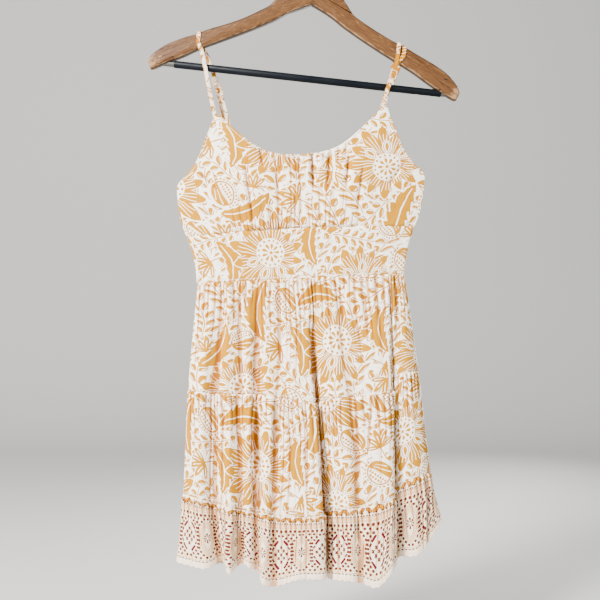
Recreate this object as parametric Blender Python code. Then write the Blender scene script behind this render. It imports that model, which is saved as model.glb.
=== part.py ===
"""A short sundress with thin straps, hung on a wooden hanger.

Lengths are in millimetres until a mesh is made, and MM turns them into metres. X is to the right as the dress is
seen from the front, -Y is the front and +Z is up. The origin is the inner crest of the hanger's hook, where a rail
or a wall hook carries it. The dress hangs with its right side a little higher, and the hanger leans the other way.
"""

import math

import bmesh
import bpy
import numpy as np
from mathutils import Vector

MM = 0.001

# Cloth
WALL = 1.2
SEAM_GAP = 0.3
HALF_GAP = SEAM_GAP / 2

# Bodice, as a half pattern measured out from its middle line and down from the hook. LEAN lifts its right side.
MIDDLE = -27.0
LEAN = 0.047
BUST_SEAM = -440.0
BUST_SEAM_ARCH = 4.0
WAIST = -511.0
FRONT_FULLNESS = 10.5
BACK_FULLNESS = 9.0
BUST_PUFF = 4.5
BUST_OUT = 78.0
BUST_SPREAD = 48.0
BACK_SIDE_TOP = (150.0, -367.0)
BACK_STRAP_TOP = (93.0, -349.0)
BACK_DIP = 3.0
BACK_SIDE_COLUMNS = 7
UPPER_ROWS = [0.0, 0.12, 0.3, 0.5, 0.7, 0.86, 1.0]
MIDRIFF_ROWS = [0.0, 0.35, 0.7, 1.0]
BACK_ROWS = [0.0, 0.5, 1.0]
MIDRIFF_COLUMNS = 24

# Each row is a height and half the width there
BODICE_WIDTHS = [
    (-377, 178.0),
    (-395, 176.5),
    (-420, 172.5),
    (-440, 165.5),
    (-455, 159.5),
    (-475, 154.0),
    (-490, 151.0),
    (-511, 149.5),
]

# Each row is a distance out from the middle and a height
ARMHOLE = [
    (178.0, -377),
    (175.0, -367),
    (161.0, -353),
    (147.0, -333),
    (135.5, -304),
    (128.5, -288),
    (124.0, -274),
]
NECKLINE = [
    (116.0, -274),
    (103.0, -286),
    (87.0, -301),
    (69.0, -316),
    (55.0, -325),
    (40.0, -330.5),
    (22.0, -334),
    (0.0, -335.5),
]
ARMHOLE_COLUMNS = 9
NECK_COLUMNS = 15

# Each row is a crease of the upper front: out from the middle at its top and foot, how far down it starts and
# ends as a share of the panel, its depth and its half width
BUST_CREASES = [
    ("left neck tuck", -58, -52, 0.00, 0.30, 2.2, 5.0),
    ("left bust crease", -80, -66, 0.12, 0.95, 2.4, 5.0),
    ("left middle crease", -36, -30, 0.05, 1.00, 1.6, 6.0),
    ("middle tuck", 17, 14, 0.02, 0.62, 3.0, 5.0),
    ("right middle tuck", 41, 34, 0.00, 0.80, 2.0, 5.5),
    ("right neck tuck", 68, 56, 0.05, 0.90, 2.6, 5.5),
]
BUST_GATHERS_OUT = 92.0
BUST_GATHERS_DEPTH = 1.1
BUST_GATHERS_START = 0.6

# The front of the skirt. A row is a fold from waist to hem: its place across at the waist, then its place across,
# its depth and its height at the seam between the tiers, at the seam of the hem band, and at the hem.
FRONT_FOLDS = [
    ("left seam", -175, (-189, -2, -671), (-196, -2, -819), (-206, -2, -917)),
    ("left turn", -171, (-184, -9, -672), (-189, -11, -820), (-194, -12, -918)),
    ("left pipe", -158, (-167, -17, -673), (-167, -21, -824), (-161, -24, -921)),
    ("b hollow", -141, (-150, -11, -675), (-149, -12, -831), (-139, -11, -914)),
    ("b pipe", -128, (-130, -19, -675), (-128, -26, -834), (-127, -35, -925)),
    ("c hollow", -113, (-113, -14, -676), (-113, -17, -839), (-112, -19, -915)),
    ("c pipe", -102, (-101, -19, -675), (-100, -22, -840), (-100, -24, -919)),
    ("d hollow", -90, (-90, -13, -676), (-89, -14, -844), (-87, -19, -926)),
    ("d pipe", -76, (-75, -22, -677), (-77, -30, -842), (-80, -38, -938)),
    ("e hollow", -56, (-57, -20, -680), (-63, -27, -845), (-62, -33, -943)),
    ("e pipe", -35, (-31, -25, -683), (-28, -34, -846), (-28, -42, -931)),
    ("f lip", -19, (-9, -25, -686), (3, -36, -843), (7, -42, -930)),
    ("f hollow", -12, (-5, -10, -686), (4, -10, -843), (8, -14, -927)),
    ("f far side", -5, (4, -17, -685), (17, -20, -839), (14, -28, -934)),
    ("h pipe", 12, (28, -24, -680), (42, -33, -835), (42, -40, -934)),
    ("h hollow", 28, (47, -21, -679), (55, -29, -834), (59, -35, -938)),
    ("i pipe", 69, (78, -24, -676), (83, -33, -828), (81, -41, -942)),
    ("g lip", 94, (100, -22, -673), (103, -31, -821), (104, -36, -917)),
    ("g hollow", 100, (105, -8, -664), (107, -8, -816), (108, -8, -915)),
    ("g far side", 105, (109, -12, -652), (112, -14, -805), (114, -16, -906)),
    ("right pipe", 113, (123, -14, -645), (132, -18, -795), (137, -21, -903)),
    ("right turn", 118, (135, -9, -644), (150, -12, -790), (155, -14, -885)),
    ("right seam", 122, (142, -2, -643), (160, -2, -789), (177, -2, -861)),
]

# The back of the skirt. A row is a fold: its place from the left seam to the right one, and how far it stands out
# between the hollows, at 0, and the fullest pipes, at 1.
BACK_FOLDS = [
    ("left seam", 0.000, 0.0),
    ("left turn", 0.030, 0.35),
    ("j pipe", 0.075, 0.75),
    ("j hollow", 0.150, 0.10),
    ("k pipe", 0.215, 0.90),
    ("k hollow", 0.270, 0.25),
    ("l pipe", 0.325, 0.80),
    ("l hollow", 0.405, 0.00),
    ("m pipe", 0.470, 1.00),
    ("m hollow", 0.525, 0.45),
    ("n pipe", 0.575, 0.85),
    ("n hollow", 0.655, 0.05),
    ("o pipe", 0.725, 0.95),
    ("o hollow", 0.785, 0.35),
    ("p pipe", 0.835, 0.80),
    ("p hollow", 0.895, 0.20),
    ("right pipe", 0.935, 0.65),
    ("right turn", 0.972, 0.35),
    ("right seam", 1.000, 0.0),
]
# A row is a seam line: the depth of a hollow and of a full pipe there, and how far its middle hangs below the
# straight line between the side seams.
BACK_LEVELS = [
    ("waist", 9, 11, 0),
    ("tier seam", 12, 20, 8),
    ("band seam", 14, 27, 20),
    ("hem", 15, 34, 36),
]

# Gathers under each skirt seam
GATHER_DEPTH = 1.3
GATHER_FADE = 0.16
COLUMNS_PER_GATHER = 3
FRONT_COLUMNS_PER_FOLD = 4
BACK_COLUMNS_PER_FOLD = 3
TIER_ROWS = [0.0, 0.08, 0.3, 0.62, 1.0]
BAND_ROWS = [0.0, 0.14, 0.55, 1.0]

# Hanger, measured from the inside of its bend, out along the arms and up
HANGER_PLACE = (-11.0, -119.4)
HANGER_LEAN = 6.3
BOARD = 14.0
JOINT_HEIGHT = 19.0
JOINT_OUT = 60.0
JOINT_END = -7.5
# Each row is a distance out, the left arm's height there and the right arm's
ARM_TOP = [
    (72, -15.5, -15),
    (95, -29.5, -27),
    (120, -41.5, -38.5),
    (144, -51.5, -48),
    (160, -60, -55.5),
    (177, -67, -63),
    (200, -79, -75),
    (217, -93, -89.5),
    (224, -104, -101),
]
ARM_FOOT = [
    (222, -112, -109.5),
    (218, -116, -113.5),
    (197, -105, -104.5),
    (174, -93, -92),
    (154, -81, -80.5),
    (119, -63.5, -63.5),
    (84, -46, -46),
    (51, -28, -28),
    (27, -13, -13),
]
# Each row is a distance out and a height
NECK_SIDE = [(53, 2), (45, 12), (36, 25), (28, 38), (18, 46)]
NECK_TOP = 48.0
# Each row is a depth through the board and how far the outline is drawn in there
BOARD_ROUNDING = [(0.0, 3.2), (0.9, 1.0), (3.2, 0.0)]

# Hook, as a wire that comes out of the neck, steps aside and goes round from HOOK_FROM to HOOK_TO degrees
WIRE = 3.5
HOOK_INSIDE = 20.0
HOOK_HEIGHT = 100.0
HOOK_DEEP = 15.0
HOOK_STEPS = 14
HOOK_FROM = 212.0
HOOK_TO = -22.0
HOOK_SHANK = [(0.0, 58.0), (-0.8, 63.0), (-4.0, 68.5), (-9.5, 73.5), (-14.5, 79.5)]
HOOK_TIP = (23.5, 86.5)

BAR_HEIGHT = -105.5
BAR_RADIUS = 4.1
SLEEVE_RADIUS = 5.2
SLEEVE_BORE = 4.4
SLEEVE_LEFT = -187.0
SLEEVE_RIGHT = 198.0
BAR_END = 211.0
WIDE_BORE_START = 170.0
BORE_START = 190.0

# Straps
STRAP_WIDTH = 6.0
STRAP_THICKNESS = 1.0
SLIDER_WINDOW = (3.4, 4.4)
SLIDER_RIM = 1.4
SLIDER_MIDDLE = 0.7
SLIDER_THICKNESS = 1.1
SLIDER_CORNER = 2.0
WINDOW_CORNER = 0.6
SLIDER_STAND_OFF = 1.35

# Each row is a strap's place: across, the layer it lies in, height, and how far its width leans up to the right in
# degrees. A strap's front rows rise to the hanger's arm and its back rows come down from it.
LEFT_STRAP_FRONT = [
    (-147.6, "front seat", -289.0, 9.0),
    (-150.4, "front seat", -276.0, 9.0),
    (-155.0, "first in front", -254.7, 9.0),
    (-159.4, "first in front", -232.8, 9.0),
    (-164.3, "first in front", -205.4, 9.0),
    (-168.6, "first in front", -186.0, 12.0),
]
LEFT_STRAP_ABOVE_SLIDER = [(-163.0, "first behind", -187.0, 13.0), (-157.0, "first behind", -203.5, 14.0)]
LEFT_STRAP_BELOW_SLIDER = [
    (-143.0, "first behind", -255.0, 14.0),
    (-133.0, "back seat", -296.0, 14.0),
    (-119.5, "back seat", -352.0, 14.0),
    (-118.0, "back seat", -360.0, 14.0),
]
LEFT_LOOP = [
    (-145.8, "under first behind", -231.0, 14.0),
    (-139.7, "under first behind", -255.0, 14.0),
    (-129.8, "under back seat", -296.0, 14.0),
    (-116.0, "under back seat", -352.0, 14.0),
    (-114.4, "under back seat", -359.0, 14.0),
]
RIGHT_STRAP_BELOW_SLIDER = [
    (86.5, "front seat", -281.0, -17.0),
    (90.0, "front seat", -268.0, -17.0),
    (95.0, "first in front", -248.0, -17.0),
    (98.6, "second in front", -236.0, -17.0),
]
RIGHT_STRAP_ABOVE_SLIDER = [(109.6, "second in front", -204.5, -14.0)]
RIGHT_STRAP_BACK = [
    (107.0, "second behind", -210.0, -20.0),
    (96.0, "second behind", -245.0, -16.0),
    (80.5, "back seat", -300.0, -15.0),
    (67.8, "back seat", -352.0, -14.0),
    (66.0, "back seat", -360.0, -14.0),
]
RIGHT_LOOP_FRONT = [
    (103.2, "first in front", -211.5, -20.0),
    (108.0, "first in front", -206.0, -30.0),
    (113.5, "first in front", -200.5, -32.0),
]
RIGHT_LOOP_BACK = [
    (113.0, "first behind", -210.0, -24.0),
    (97.0, "first behind", -247.0, -18.0),
    (82.0, "under back seat", -300.0, -15.0),
    (69.6, "under back seat", -352.0, -14.0),
    (68.0, "under back seat", -359.0, -14.0),
]
# How far out along an arm each strap crosses it
LEFT_STRAP_OUT = -156.0
RIGHT_STRAP_OUT = 130.0
RIGHT_LOOP_OUT = 138.5
# Across, height, and lean from upright
LEFT_SLIDER = (-150.0, -226.5, -14.0)
RIGHT_SLIDER = (105.2, -221.0, 17.0)
# A strap's places through a slider: along it, and behind its bars at 1, in front of them at -1
SLIDER_WEAVE = [(-8.2, 1), (-5.1, 1), (-2.9, 0), (-0.8, -1), (0.8, -1), (2.9, 0), (5.1, 1), (8.2, 1)]
# A strap's cross-section, as shares of half its width and half its thickness
STRAP_SECTION = [
    (1.0, 0.3),
    (0.74, 1.0),
    (-0.74, 1.0),
    (-1.0, 0.3),
    (-1.0, -0.3),
    (-0.74, -1.0),
    (0.74, -1.0),
    (1.0, -0.3),
]


def finish(name, colour, roughness, metallic=0.0):
    """The plain material of one piece."""
    material = bpy.data.materials.new(name)
    material.use_nodes = True
    shader = material.node_tree.nodes["Principled BSDF"]
    shader.inputs["Base Color"].default_value = (*colour, 1.0)
    shader.inputs["Roughness"].default_value = roughness
    shader.inputs["Metallic"].default_value = metallic
    return material


def add_object(name, data, colour, roughness=0.9, metallic=0.0):
    made = bpy.data.objects.new(name, data)
    data.materials.append(finish(name, colour, roughness, metallic))
    DRESS.objects.link(made)
    return made


def add_mesh(name, shape, colour, roughness=0.9, metallic=0.0):
    mesh = bpy.data.meshes.new(name)
    bmesh.ops.recalc_face_normals(shape, faces=shape.faces)
    shape.to_mesh(mesh)
    shape.free()
    mesh.shade_smooth()
    mesh.set_sharp_from_angle(angle=math.radians(40))
    return add_object(name, mesh, colour, roughness, metallic)


def smooth(rows, place):
    """The point on a smooth curve through rows, which is at row n where place is n."""
    first = min(int(place), len(rows) - 2)
    share = place - first
    before = rows[max(first - 1, 0)]
    start = rows[first]
    end = rows[first + 1]
    after = rows[min(first + 2, len(rows) - 1)]
    return 0.5 * (
        2 * start
        + (end - before) * share
        + (2 * before - 5 * start + 4 * end - after) * share**2
        + (3 * start - before - 3 * end + after) * share**3
    )


def leaned(out, height):
    """A place of the bodice's half pattern, seen from the front, on the dress as it hangs."""
    return MIDDLE + out, height + LEAN * out


def half_width(height):
    heights = [row[0] for row in reversed(BODICE_WIDTHS)]
    widths = [row[1] for row in reversed(BODICE_WIDTHS)]
    return float(np.interp(height, heights, widths))


def swell(share):
    """How full a panel stands between its side seams, where share runs from -1 to 1."""
    return 1.0 - min(abs(share), 1.0) ** 4


def front_depth(share):
    return -(WALL + HALF_GAP + FRONT_FULLNESS * swell(share))


def back_depth(share):
    return WALL + HALF_GAP + BACK_FULLNESS * swell(share)


def bust_seam_height(share):
    return BUST_SEAM - BUST_SEAM_ARCH * share**2


def wall(name, columns, rows, point, side, colour):
    """A cloth panel. Its outer face is a grid on point(across, down), and its inner face lies one wall further
    in, level with it. side is -1 for a front panel and 1 for a back one."""
    across_steps = len(columns) - 1
    down_steps = len(rows) - 1
    shape = bmesh.new()
    bmesh.ops.create_grid(shape, x_segments=across_steps, y_segments=down_steps, size=0.5)
    seam_verts = []
    for vert in shape.verts:
        across = round((vert.co.x + 0.5) * across_steps)
        down = round((0.5 - vert.co.y) * down_steps)
        if across in (0, across_steps):
            seam_verts.append(vert)
        vert.co = Vector(point(columns[across], rows[down]))
    shape.normal_update()
    outward = 1.0 if sum(vert.normal.y for vert in shape.verts) * side > 0 else -1.0
    inward = {}
    for vert in shape.verts:
        level = Vector((vert.normal.x, vert.normal.y, 0.0)).normalized()
        inward[vert.index] = -outward * WALL * level
    for vert in seam_verts:
        vert.co.y = side * HALF_GAP - min(0.0, side * inward[vert.index].y) * side
    outer = list(shape.verts)
    shape.verts.index_update()
    places = [(vert.co.copy(), inward[vert.index]) for vert in outer]
    made = bmesh.ops.extrude_face_region(shape, geom=list(shape.faces), use_keep_orig=True)
    inner = [item for item in made["geom"] if isinstance(item, bmesh.types.BMVert)]
    table = {tuple(round(c, 4) for c in co): move for co, move in places}
    for vert in inner:
        vert.co += table[tuple(round(c, 4) for c in vert.co)]
    bmesh.ops.scale(shape, vec=(MM, MM, MM), verts=shape.verts)
    return add_mesh(name, shape, colour)


def half_edge(curve, steps):
    """Points at even steps along a half pattern's edge."""
    rows = np.array(curve, dtype=float)
    return [smooth(rows, step * (len(rows) - 1) / steps) for step in range(steps + 1)]


def front_top_edge():
    """The top edge of the front from one side seam to the other: armhole, strap end, neckline and back again."""
    right = half_edge(ARMHOLE, ARMHOLE_COLUMNS) + half_edge(NECKLINE, NECK_COLUMNS)
    left = [np.array((-out, height)) for out, height in right]
    return left + list(reversed(right[:-1]))


def back_top_edge():
    """The top edge of the back: up from the side seams to the straps, then almost straight between them."""
    steps = BACK_SIDE_COLUMNS
    rise = np.array([ARMHOLE[0], BACK_SIDE_TOP, BACK_STRAP_TOP])
    right = [smooth(rise, step * 2 / steps) for step in range(steps + 1)]
    out, height = BACK_STRAP_TOP
    for step in range(1, steps + 1):
        share = step / steps
        right.append(np.array((out * (1 - share), height - BACK_DIP * share)))
    left = [np.array((-out, height)) for out, height in right]
    return left + list(reversed(right[:-1]))


def crease_depth(out, down):
    """How far the bust's creases draw the cloth in."""
    total = 0.0
    for _, top, foot, start, end, depth, half in BUST_CREASES:
        if start <= down <= end:
            along = (down - start) / (end - start)
            middle = top + (foot - top) * down
            fade = math.sin(math.pi * min(1.0, 0.25 + 0.75 * along)) ** 0.5 if along < 1 else 0.0
            total += depth * fade * math.exp(-(((out - middle) / half) ** 2))
    return total


def front_upper_point(edge):
    def point(column, down):
        out, top = edge[column]
        share = out / half_width(top)
        foot = bust_seam_height(share) + HALF_GAP
        height = top + down * (foot - top)
        out = share * half_width(height)
        x, z = leaned(out, height)
        puff = BUST_PUFF * math.sin(math.pi * min(down * 1.02, 1.0)) ** 1.2
        puff *= math.exp(-(((abs(out) - BUST_OUT) / BUST_SPREAD) ** 2))
        gathers = 0.0
        if abs(out) < BUST_GATHERS_OUT:
            gathers = BUST_GATHERS_DEPTH * math.cos(math.pi * column)
            gathers *= max(0.0, (down - BUST_GATHERS_START) / (1 - BUST_GATHERS_START))
        y = front_depth(share) - puff + crease_depth(out, down) - gathers
        return x, y, z

    return point


def back_upper_point(edge):
    def point(column, down):
        out, top = edge[column]
        share = out / half_width(top)
        foot = bust_seam_height(share) + HALF_GAP
        height = top + down * (foot - top)
        x, z = leaned(share * half_width(height), height)
        return x, back_depth(share), z

    return point


def midriff_point(depth):
    def point(share, down):
        top = bust_seam_height(share) - HALF_GAP
        height = top + down * (WAIST + HALF_GAP - top)
        x, z = leaned(share * half_width(height), height)
        return x, depth(share), z

    return point


def waist_place(x, depth):
    """A fold's start on the waist seam."""
    share = (x - MIDDLE) / half_width(WAIST)
    return x, depth(share), leaned(x - MIDDLE, WAIST)[1]


def front_folds():
    """The front's folds as an array: level by fold by place."""
    waist = [waist_place(row[1], front_depth) for row in FRONT_FOLDS]
    below = [[row[level] for row in FRONT_FOLDS] for level in (2, 3, 4)]
    return np.array([waist, *below], dtype=float)


def back_folds():
    """The back's folds, between the side seams of the front."""
    front = front_folds()
    levels = []
    for level, (_, hollow, pipe, droop) in enumerate(BACK_LEVELS):
        left, right = front[level, 0], front[level, -1]
        row = []
        for _, share, stand in BACK_FOLDS:
            place = left + (right - left) * share
            full = swell(2 * share - 1)
            depth = hollow + (pipe - hollow) * stand
            place[1] = (WALL + HALF_GAP) + (depth - WALL - HALF_GAP) * full
            place[2] -= droop * (1.0 - abs(2 * share - 1) ** 1.6)
            row.append(place)
        levels.append(row)
    levels[0] = [list(waist_place(x, back_depth)) for x, _, _ in levels[0]]
    return np.array(levels, dtype=float)


def skirt_point(folds, level, per_fold):
    """Points of one tier. A column is a whole number, and per_fold of them lie between two folds."""

    def at(across, down):
        return smooth(smooth(folds, level + down), across)

    def point(column, down):
        across = column / per_fold
        place = at(across, down)
        step = 0.02
        last = len(folds[0]) - 1
        ahead = at(min(across + step, last), down) - at(max(across - step, 0.0), down)
        normal = np.array((-ahead[1], ahead[0], 0.0))
        normal /= np.linalg.norm(normal)
        level_share = math.hypot(ahead[0], ahead[1]) / np.linalg.norm(ahead)
        phase = 2 * math.pi * column / COLUMNS_PER_GATHER
        calm = min(across, last - across, 1.0) * level_share**4
        place = place + normal * GATHER_DEPTH * math.cos(phase) * math.exp(-down / GATHER_FADE) * calm
        place[2] += HALF_GAP * (2 * down - 1) / level_share
        return tuple(place)

    return point


def build_dress():
    white = (0.86, 0.80, 0.72)
    orange = (0.88, 0.66, 0.34)
    peach = (0.80, 0.58, 0.46)
    edge = front_top_edge()
    wall("front_upper_bodice", list(range(len(edge))), UPPER_ROWS, front_upper_point(edge), -1, white)
    edge = back_top_edge()
    wall("back_upper_bodice", list(range(len(edge))), BACK_ROWS, back_upper_point(edge), 1, white)
    shares = [2 * step / MIDRIFF_COLUMNS - 1.0 for step in range(MIDRIFF_COLUMNS + 1)]
    wall("front_midriff", shares, MIDRIFF_ROWS, midriff_point(front_depth), -1, white)
    wall("back_midriff", shares, BACK_ROWS, midriff_point(back_depth), 1, white)
    panels = [
        ("front", front_folds(), FRONT_COLUMNS_PER_FOLD, -1),
        ("back", back_folds(), BACK_COLUMNS_PER_FOLD, 1),
    ]
    tiers = [
        ("upper_tier", 0, TIER_ROWS, orange),
        ("lower_tier", 1, TIER_ROWS, orange),
        ("hem_band", 2, BAND_ROWS, peach),
    ]
    for side_name, folds, per_fold, side in panels:
        columns = list(range((len(folds[0]) - 1) * per_fold + 1))
        for tier_name, level, rows, colour in tiers:
            point = skirt_point(folds, level, per_fold)
            wall(f"{side_name}_{tier_name}", columns, rows, point, side, colour)


def hanger_object(made):
    """Puts a piece measured from the hanger's bend where the hanger hangs."""
    made.location = (HANGER_PLACE[0] * MM, 0.0, HANGER_PLACE[1] * MM)
    made.rotation_euler = (0.0, math.radians(HANGER_LEAN), 0.0)
    return made


def on_hanger(out, height):
    """Where a place measured from the hanger's bend lies on the dress's own axes."""
    turn = math.radians(HANGER_LEAN)
    x = HANGER_PLACE[0] + out * math.cos(turn) + height * math.sin(turn)
    z = HANGER_PLACE[1] - out * math.sin(turn) + height * math.cos(turn)
    return x, z


def board(name, outline, square_corners, colour):
    """A flat board with rounded edges, from its outline. The corners named stay square, for a glued joint."""
    count = len(outline)
    points = [Vector((out, 0.0, height)) for out, height in outline]
    inward = []
    for index, point in enumerate(points):
        before = (point - points[index - 1]).normalized()
        after = (points[(index + 1) % count] - point).normalized()
        along = (before + after).normalized()
        inward.append(Vector((-along.z, 0.0, along.x)))
    area = sum(points[i - 1].x * points[i].z - points[i].x * points[i - 1].z for i in range(count))
    turn = 1.0 if area > 0 else -1.0
    half = BOARD / 2
    profile = [(-half + depth, inset) for depth, inset in BOARD_ROUNDING]
    profile += [(half - depth, inset) for depth, inset in reversed(BOARD_ROUNDING)]
    shape = bmesh.new()
    rings = []
    for depth, inset in profile:
        ring = []
        for index, point in enumerate(points):
            drawn_in = 0.0 if index in square_corners else inset
            place = point + inward[index] * drawn_in * turn
            ring.append(shape.verts.new((place.x, depth, place.z)))
        rings.append(ring)
    edges = []
    for ring in rings:
        edges.append([shape.edges.new((ring[i - 1], ring[i])) for i in range(count)])
    for near, far in zip(edges, edges[1:]):
        bmesh.ops.bridge_loops(shape, edges=near + far)
    for ring in (rings[0], rings[-1]):
        shape.faces.new(ring)
    bmesh.ops.scale(shape, vec=(MM, MM, MM), verts=shape.verts)
    return hanger_object(add_mesh(name, shape, colour, 0.55))


def cutter(name, radius, start, end, height):
    """A bore along the bar, kept out of the dress."""
    shape = bmesh.new()
    bmesh.ops.create_cone(
        shape, cap_ends=True, segments=16, radius1=radius * MM, radius2=radius * MM, depth=abs(end - start) * MM
    )
    mesh = bpy.data.meshes.new(name)
    shape.to_mesh(mesh)
    shape.free()
    made = bpy.data.objects.new(name, mesh)
    turn = math.radians(HANGER_LEAN)
    x, z = on_hanger((start + end) / 2, height)
    made.location = (x * MM, 0.0, z * MM)
    made.rotation_euler = (0.0, math.pi / 2 + turn, 0.0)
    made.hide_render = True
    made.display_type = "WIRE"
    CUTTERS.objects.link(made)
    return made


def cut(made, tool):
    bore = made.modifiers.new(tool.name, "BOOLEAN")
    bore.operation = "DIFFERENCE"
    bore.object = tool


def build_hanger():
    wood = (0.36, 0.19, 0.09)
    right = [(0.0, 0.0)] + [(out, height) for out, _, height in reversed(ARM_FOOT)]
    right += [(out, height) for out, _, height in reversed(ARM_TOP)]
    right += [(JOINT_OUT, JOINT_END), (0.0, JOINT_HEIGHT)]
    right_arm = board("hanger_right_arm", right, {0, len(right) - 1, len(right) - 2}, wood)
    gap = SEAM_GAP
    neck = [(JOINT_OUT, JOINT_END + gap)] + NECK_SIDE + [(0.0, NECK_TOP)]
    neck += [(-out, height) for out, height in reversed(NECK_SIDE)]
    left = neck + [(-JOINT_OUT, JOINT_END)] + [(-out, height) for out, height, _ in ARM_TOP + ARM_FOOT]
    left += [(-gap, 0.0), (-gap, JOINT_HEIGHT + gap)]
    left_arm = board("hanger_left_arm", left, {0, len(left) - 1, len(left) - 2}, wood)
    for arm, side in ((right_arm, 1.0), (left_arm, -1.0)):
        ends = side * WIDE_BORE_START, side * (SLEEVE_RIGHT + 1.0)
        cut(arm, cutter(f"{arm.name}_wide_bore", SLEEVE_RADIUS + SEAM_GAP, *ends, BAR_HEIGHT))
        ends = side * BORE_START, side * (BAR_END + SEAM_GAP)
        cut(arm, cutter(f"{arm.name}_bore", BAR_RADIUS + SEAM_GAP, *ends, BAR_HEIGHT))
    bore = cutter("hook_bore", WIRE / 2 + SEAM_GAP, 0.0, 2 * (HOOK_DEEP + SEAM_GAP), 0.0)
    x, z = on_hanger(0.0, NECK_TOP)
    bore.location = (x * MM, 0.0, z * MM)
    bore.rotation_euler = (0.0, math.radians(HANGER_LEAN), 0.0)
    cut(left_arm, bore)
    build_hook()
    build_bar()


def build_hook():
    """A wire that comes out of the neck, steps aside and goes round over the top."""
    radius = HOOK_INSIDE + WIRE / 2
    path = [(0.0, NECK_TOP - HOOK_DEEP), *HOOK_SHANK]
    for step in range(HOOK_STEPS + 1):
        angle = math.radians(HOOK_FROM + (HOOK_TO - HOOK_FROM) * step / HOOK_STEPS)
        path.append((radius * math.cos(angle), HOOK_HEIGHT + radius * math.sin(angle)))
    path.append(HOOK_TIP)
    curve = bpy.data.curves.new("hanger_hook", "CURVE")
    curve.dimensions = "3D"
    curve.bevel_depth = WIRE / 2 * MM
    curve.bevel_resolution = 2
    curve.use_fill_caps = True
    curve.render_resolution_u = 0
    spline = curve.splines.new("POLY")
    spline.points.add(len(path) - 1)
    for point, (out, height) in zip(spline.points, path):
        point.co = (out * MM, 0.0, height * MM, 1.0)
    hanger_object(add_object("hanger_hook", curve, (0.62, 0.62, 0.60), 0.3, 1.0))


def tube(name, start, end, radius, bore, colour, roughness, metallic=0.0):
    """A round bar along the hanger, hollow where bore is more than nothing."""
    shape = bmesh.new()
    turn = [(start, radius), (end, radius)]
    if bore > 0:
        turn += [(end, bore), (start, bore)]
    else:
        turn = [(start, 0.0), *turn, (end, 0.0)]
    points = [shape.verts.new((out * MM, 0.0, across * MM)) for out, across in turn]
    edges = [shape.edges.new(pair) for pair in zip(points, points[1:])]
    if bore > 0:
        edges.append(shape.edges.new((points[-1], points[0])))
    bmesh.ops.spin(
        shape, geom=points + edges, cent=(0, 0, 0), axis=(1, 0, 0), angle=2 * math.pi, steps=16, use_merge=True
    )
    bmesh.ops.remove_doubles(shape, verts=shape.verts, dist=0.00001)
    bmesh.ops.translate(shape, vec=(0.0, 0.0, BAR_HEIGHT * MM), verts=shape.verts)
    return hanger_object(add_mesh(name, shape, colour, roughness, metallic))


def build_bar():
    tube("trouser_bar", -BAR_END, BAR_END, BAR_RADIUS, 0.0, (0.30, 0.29, 0.28), 0.45, 0.8)
    tube("trouser_bar_sleeve", SLEEVE_LEFT, SLEEVE_RIGHT, SLEEVE_RADIUS, SLEEVE_BORE, (0.02, 0.025, 0.04), 0.5)


def arm_top(out):
    """The height of an arm's top edge, out along it from the middle."""
    arm = 1 if out < 0 else 2
    outs = [JOINT_OUT] + [row[0] for row in ARM_TOP]
    heights = [JOINT_END] + [row[arm] for row in ARM_TOP]
    return float(np.interp(abs(out), outs, heights))


def over_arm(out, front, back):
    """The places of a strap as it goes over an arm: up its front at depth front and down its back at depth back."""
    lift = STRAP_THICKNESS / 2 + 0.75
    half = BOARD / 2
    drops = [
        (front, 14.0),
        (front, 4.5),
        (-half + 0.5 - lift * 0.4, -lift),
        (-half + 3.6, -lift - 0.4),
        (half - 3.6, -lift - 0.4),
        (half - 0.5 + lift * 0.4, -lift),
        (back, 4.5),
        (back, 14.0),
    ]
    slope = (arm_top(out + 4) - arm_top(out - 4)) / 8
    turn = math.degrees(math.atan(slope)) - HANGER_LEAN
    places = []
    for depth, drop in drops:
        x, z = on_hanger(out, arm_top(out) - drop)
        places.append((x, depth, z, turn))
    return places


def through_slider(x, depth, z, lean, out):
    """The places of a strap as it goes through a slider from behind, over its middle bar and back. lean is the
    strap's lean from upright in degrees, and out is -1 where the slider faces the front."""
    step = SLIDER_THICKNESS / 2 + STRAP_THICKNESS / 2 + 0.3
    turn = math.radians(lean)
    places = []
    for along, side in SLIDER_WEAVE:
        y = depth - out * side * step
        places.append((x + along * math.sin(turn), y, z + along * math.cos(turn), -lean))
    return places


def strap(name, places, colour):
    """A flat strap. A place is across, depth, height and how far its width leans up to the right."""
    half_wide = STRAP_WIDTH / 2
    half_thick = STRAP_THICKNESS / 2
    points = [Vector(place[:3]) for place in places]
    shape = bmesh.new()
    rings = []
    for index, point in enumerate(points):
        before = points[max(index - 1, 0)]
        after = points[min(index + 1, len(points) - 1)]
        along = ((point - before).normalized() + (after - point).normalized()).normalized()
        lean = math.radians(places[index][3])
        wide = Vector((math.cos(lean), 0.0, math.sin(lean)))
        wide = (wide - along * wide.dot(along)).normalized()
        thick = along.cross(wide)
        bend = 1.0
        if 0 < index < len(points) - 1:
            turn = (point - before).angle(after - point)
            bend = 1.0 / max(math.cos(turn / 2), 0.7)
        ring = []
        for across, through in STRAP_SECTION:
            place = point + wide * across * half_wide + thick * through * half_thick * bend
            ring.append(shape.verts.new(place))
        rings.append(ring)
    loops = [[shape.edges.new((ring[i - 1], ring[i])) for i in range(len(ring))] for ring in rings]
    for near, far in zip(loops, loops[1:]):
        bmesh.ops.bridge_loops(shape, edges=near + far)
    shape.faces.new(rings[0])
    shape.faces.new(rings[-1])
    bmesh.ops.scale(shape, vec=(MM, MM, MM), verts=shape.verts)
    return add_mesh(name, shape, colour)


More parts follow.
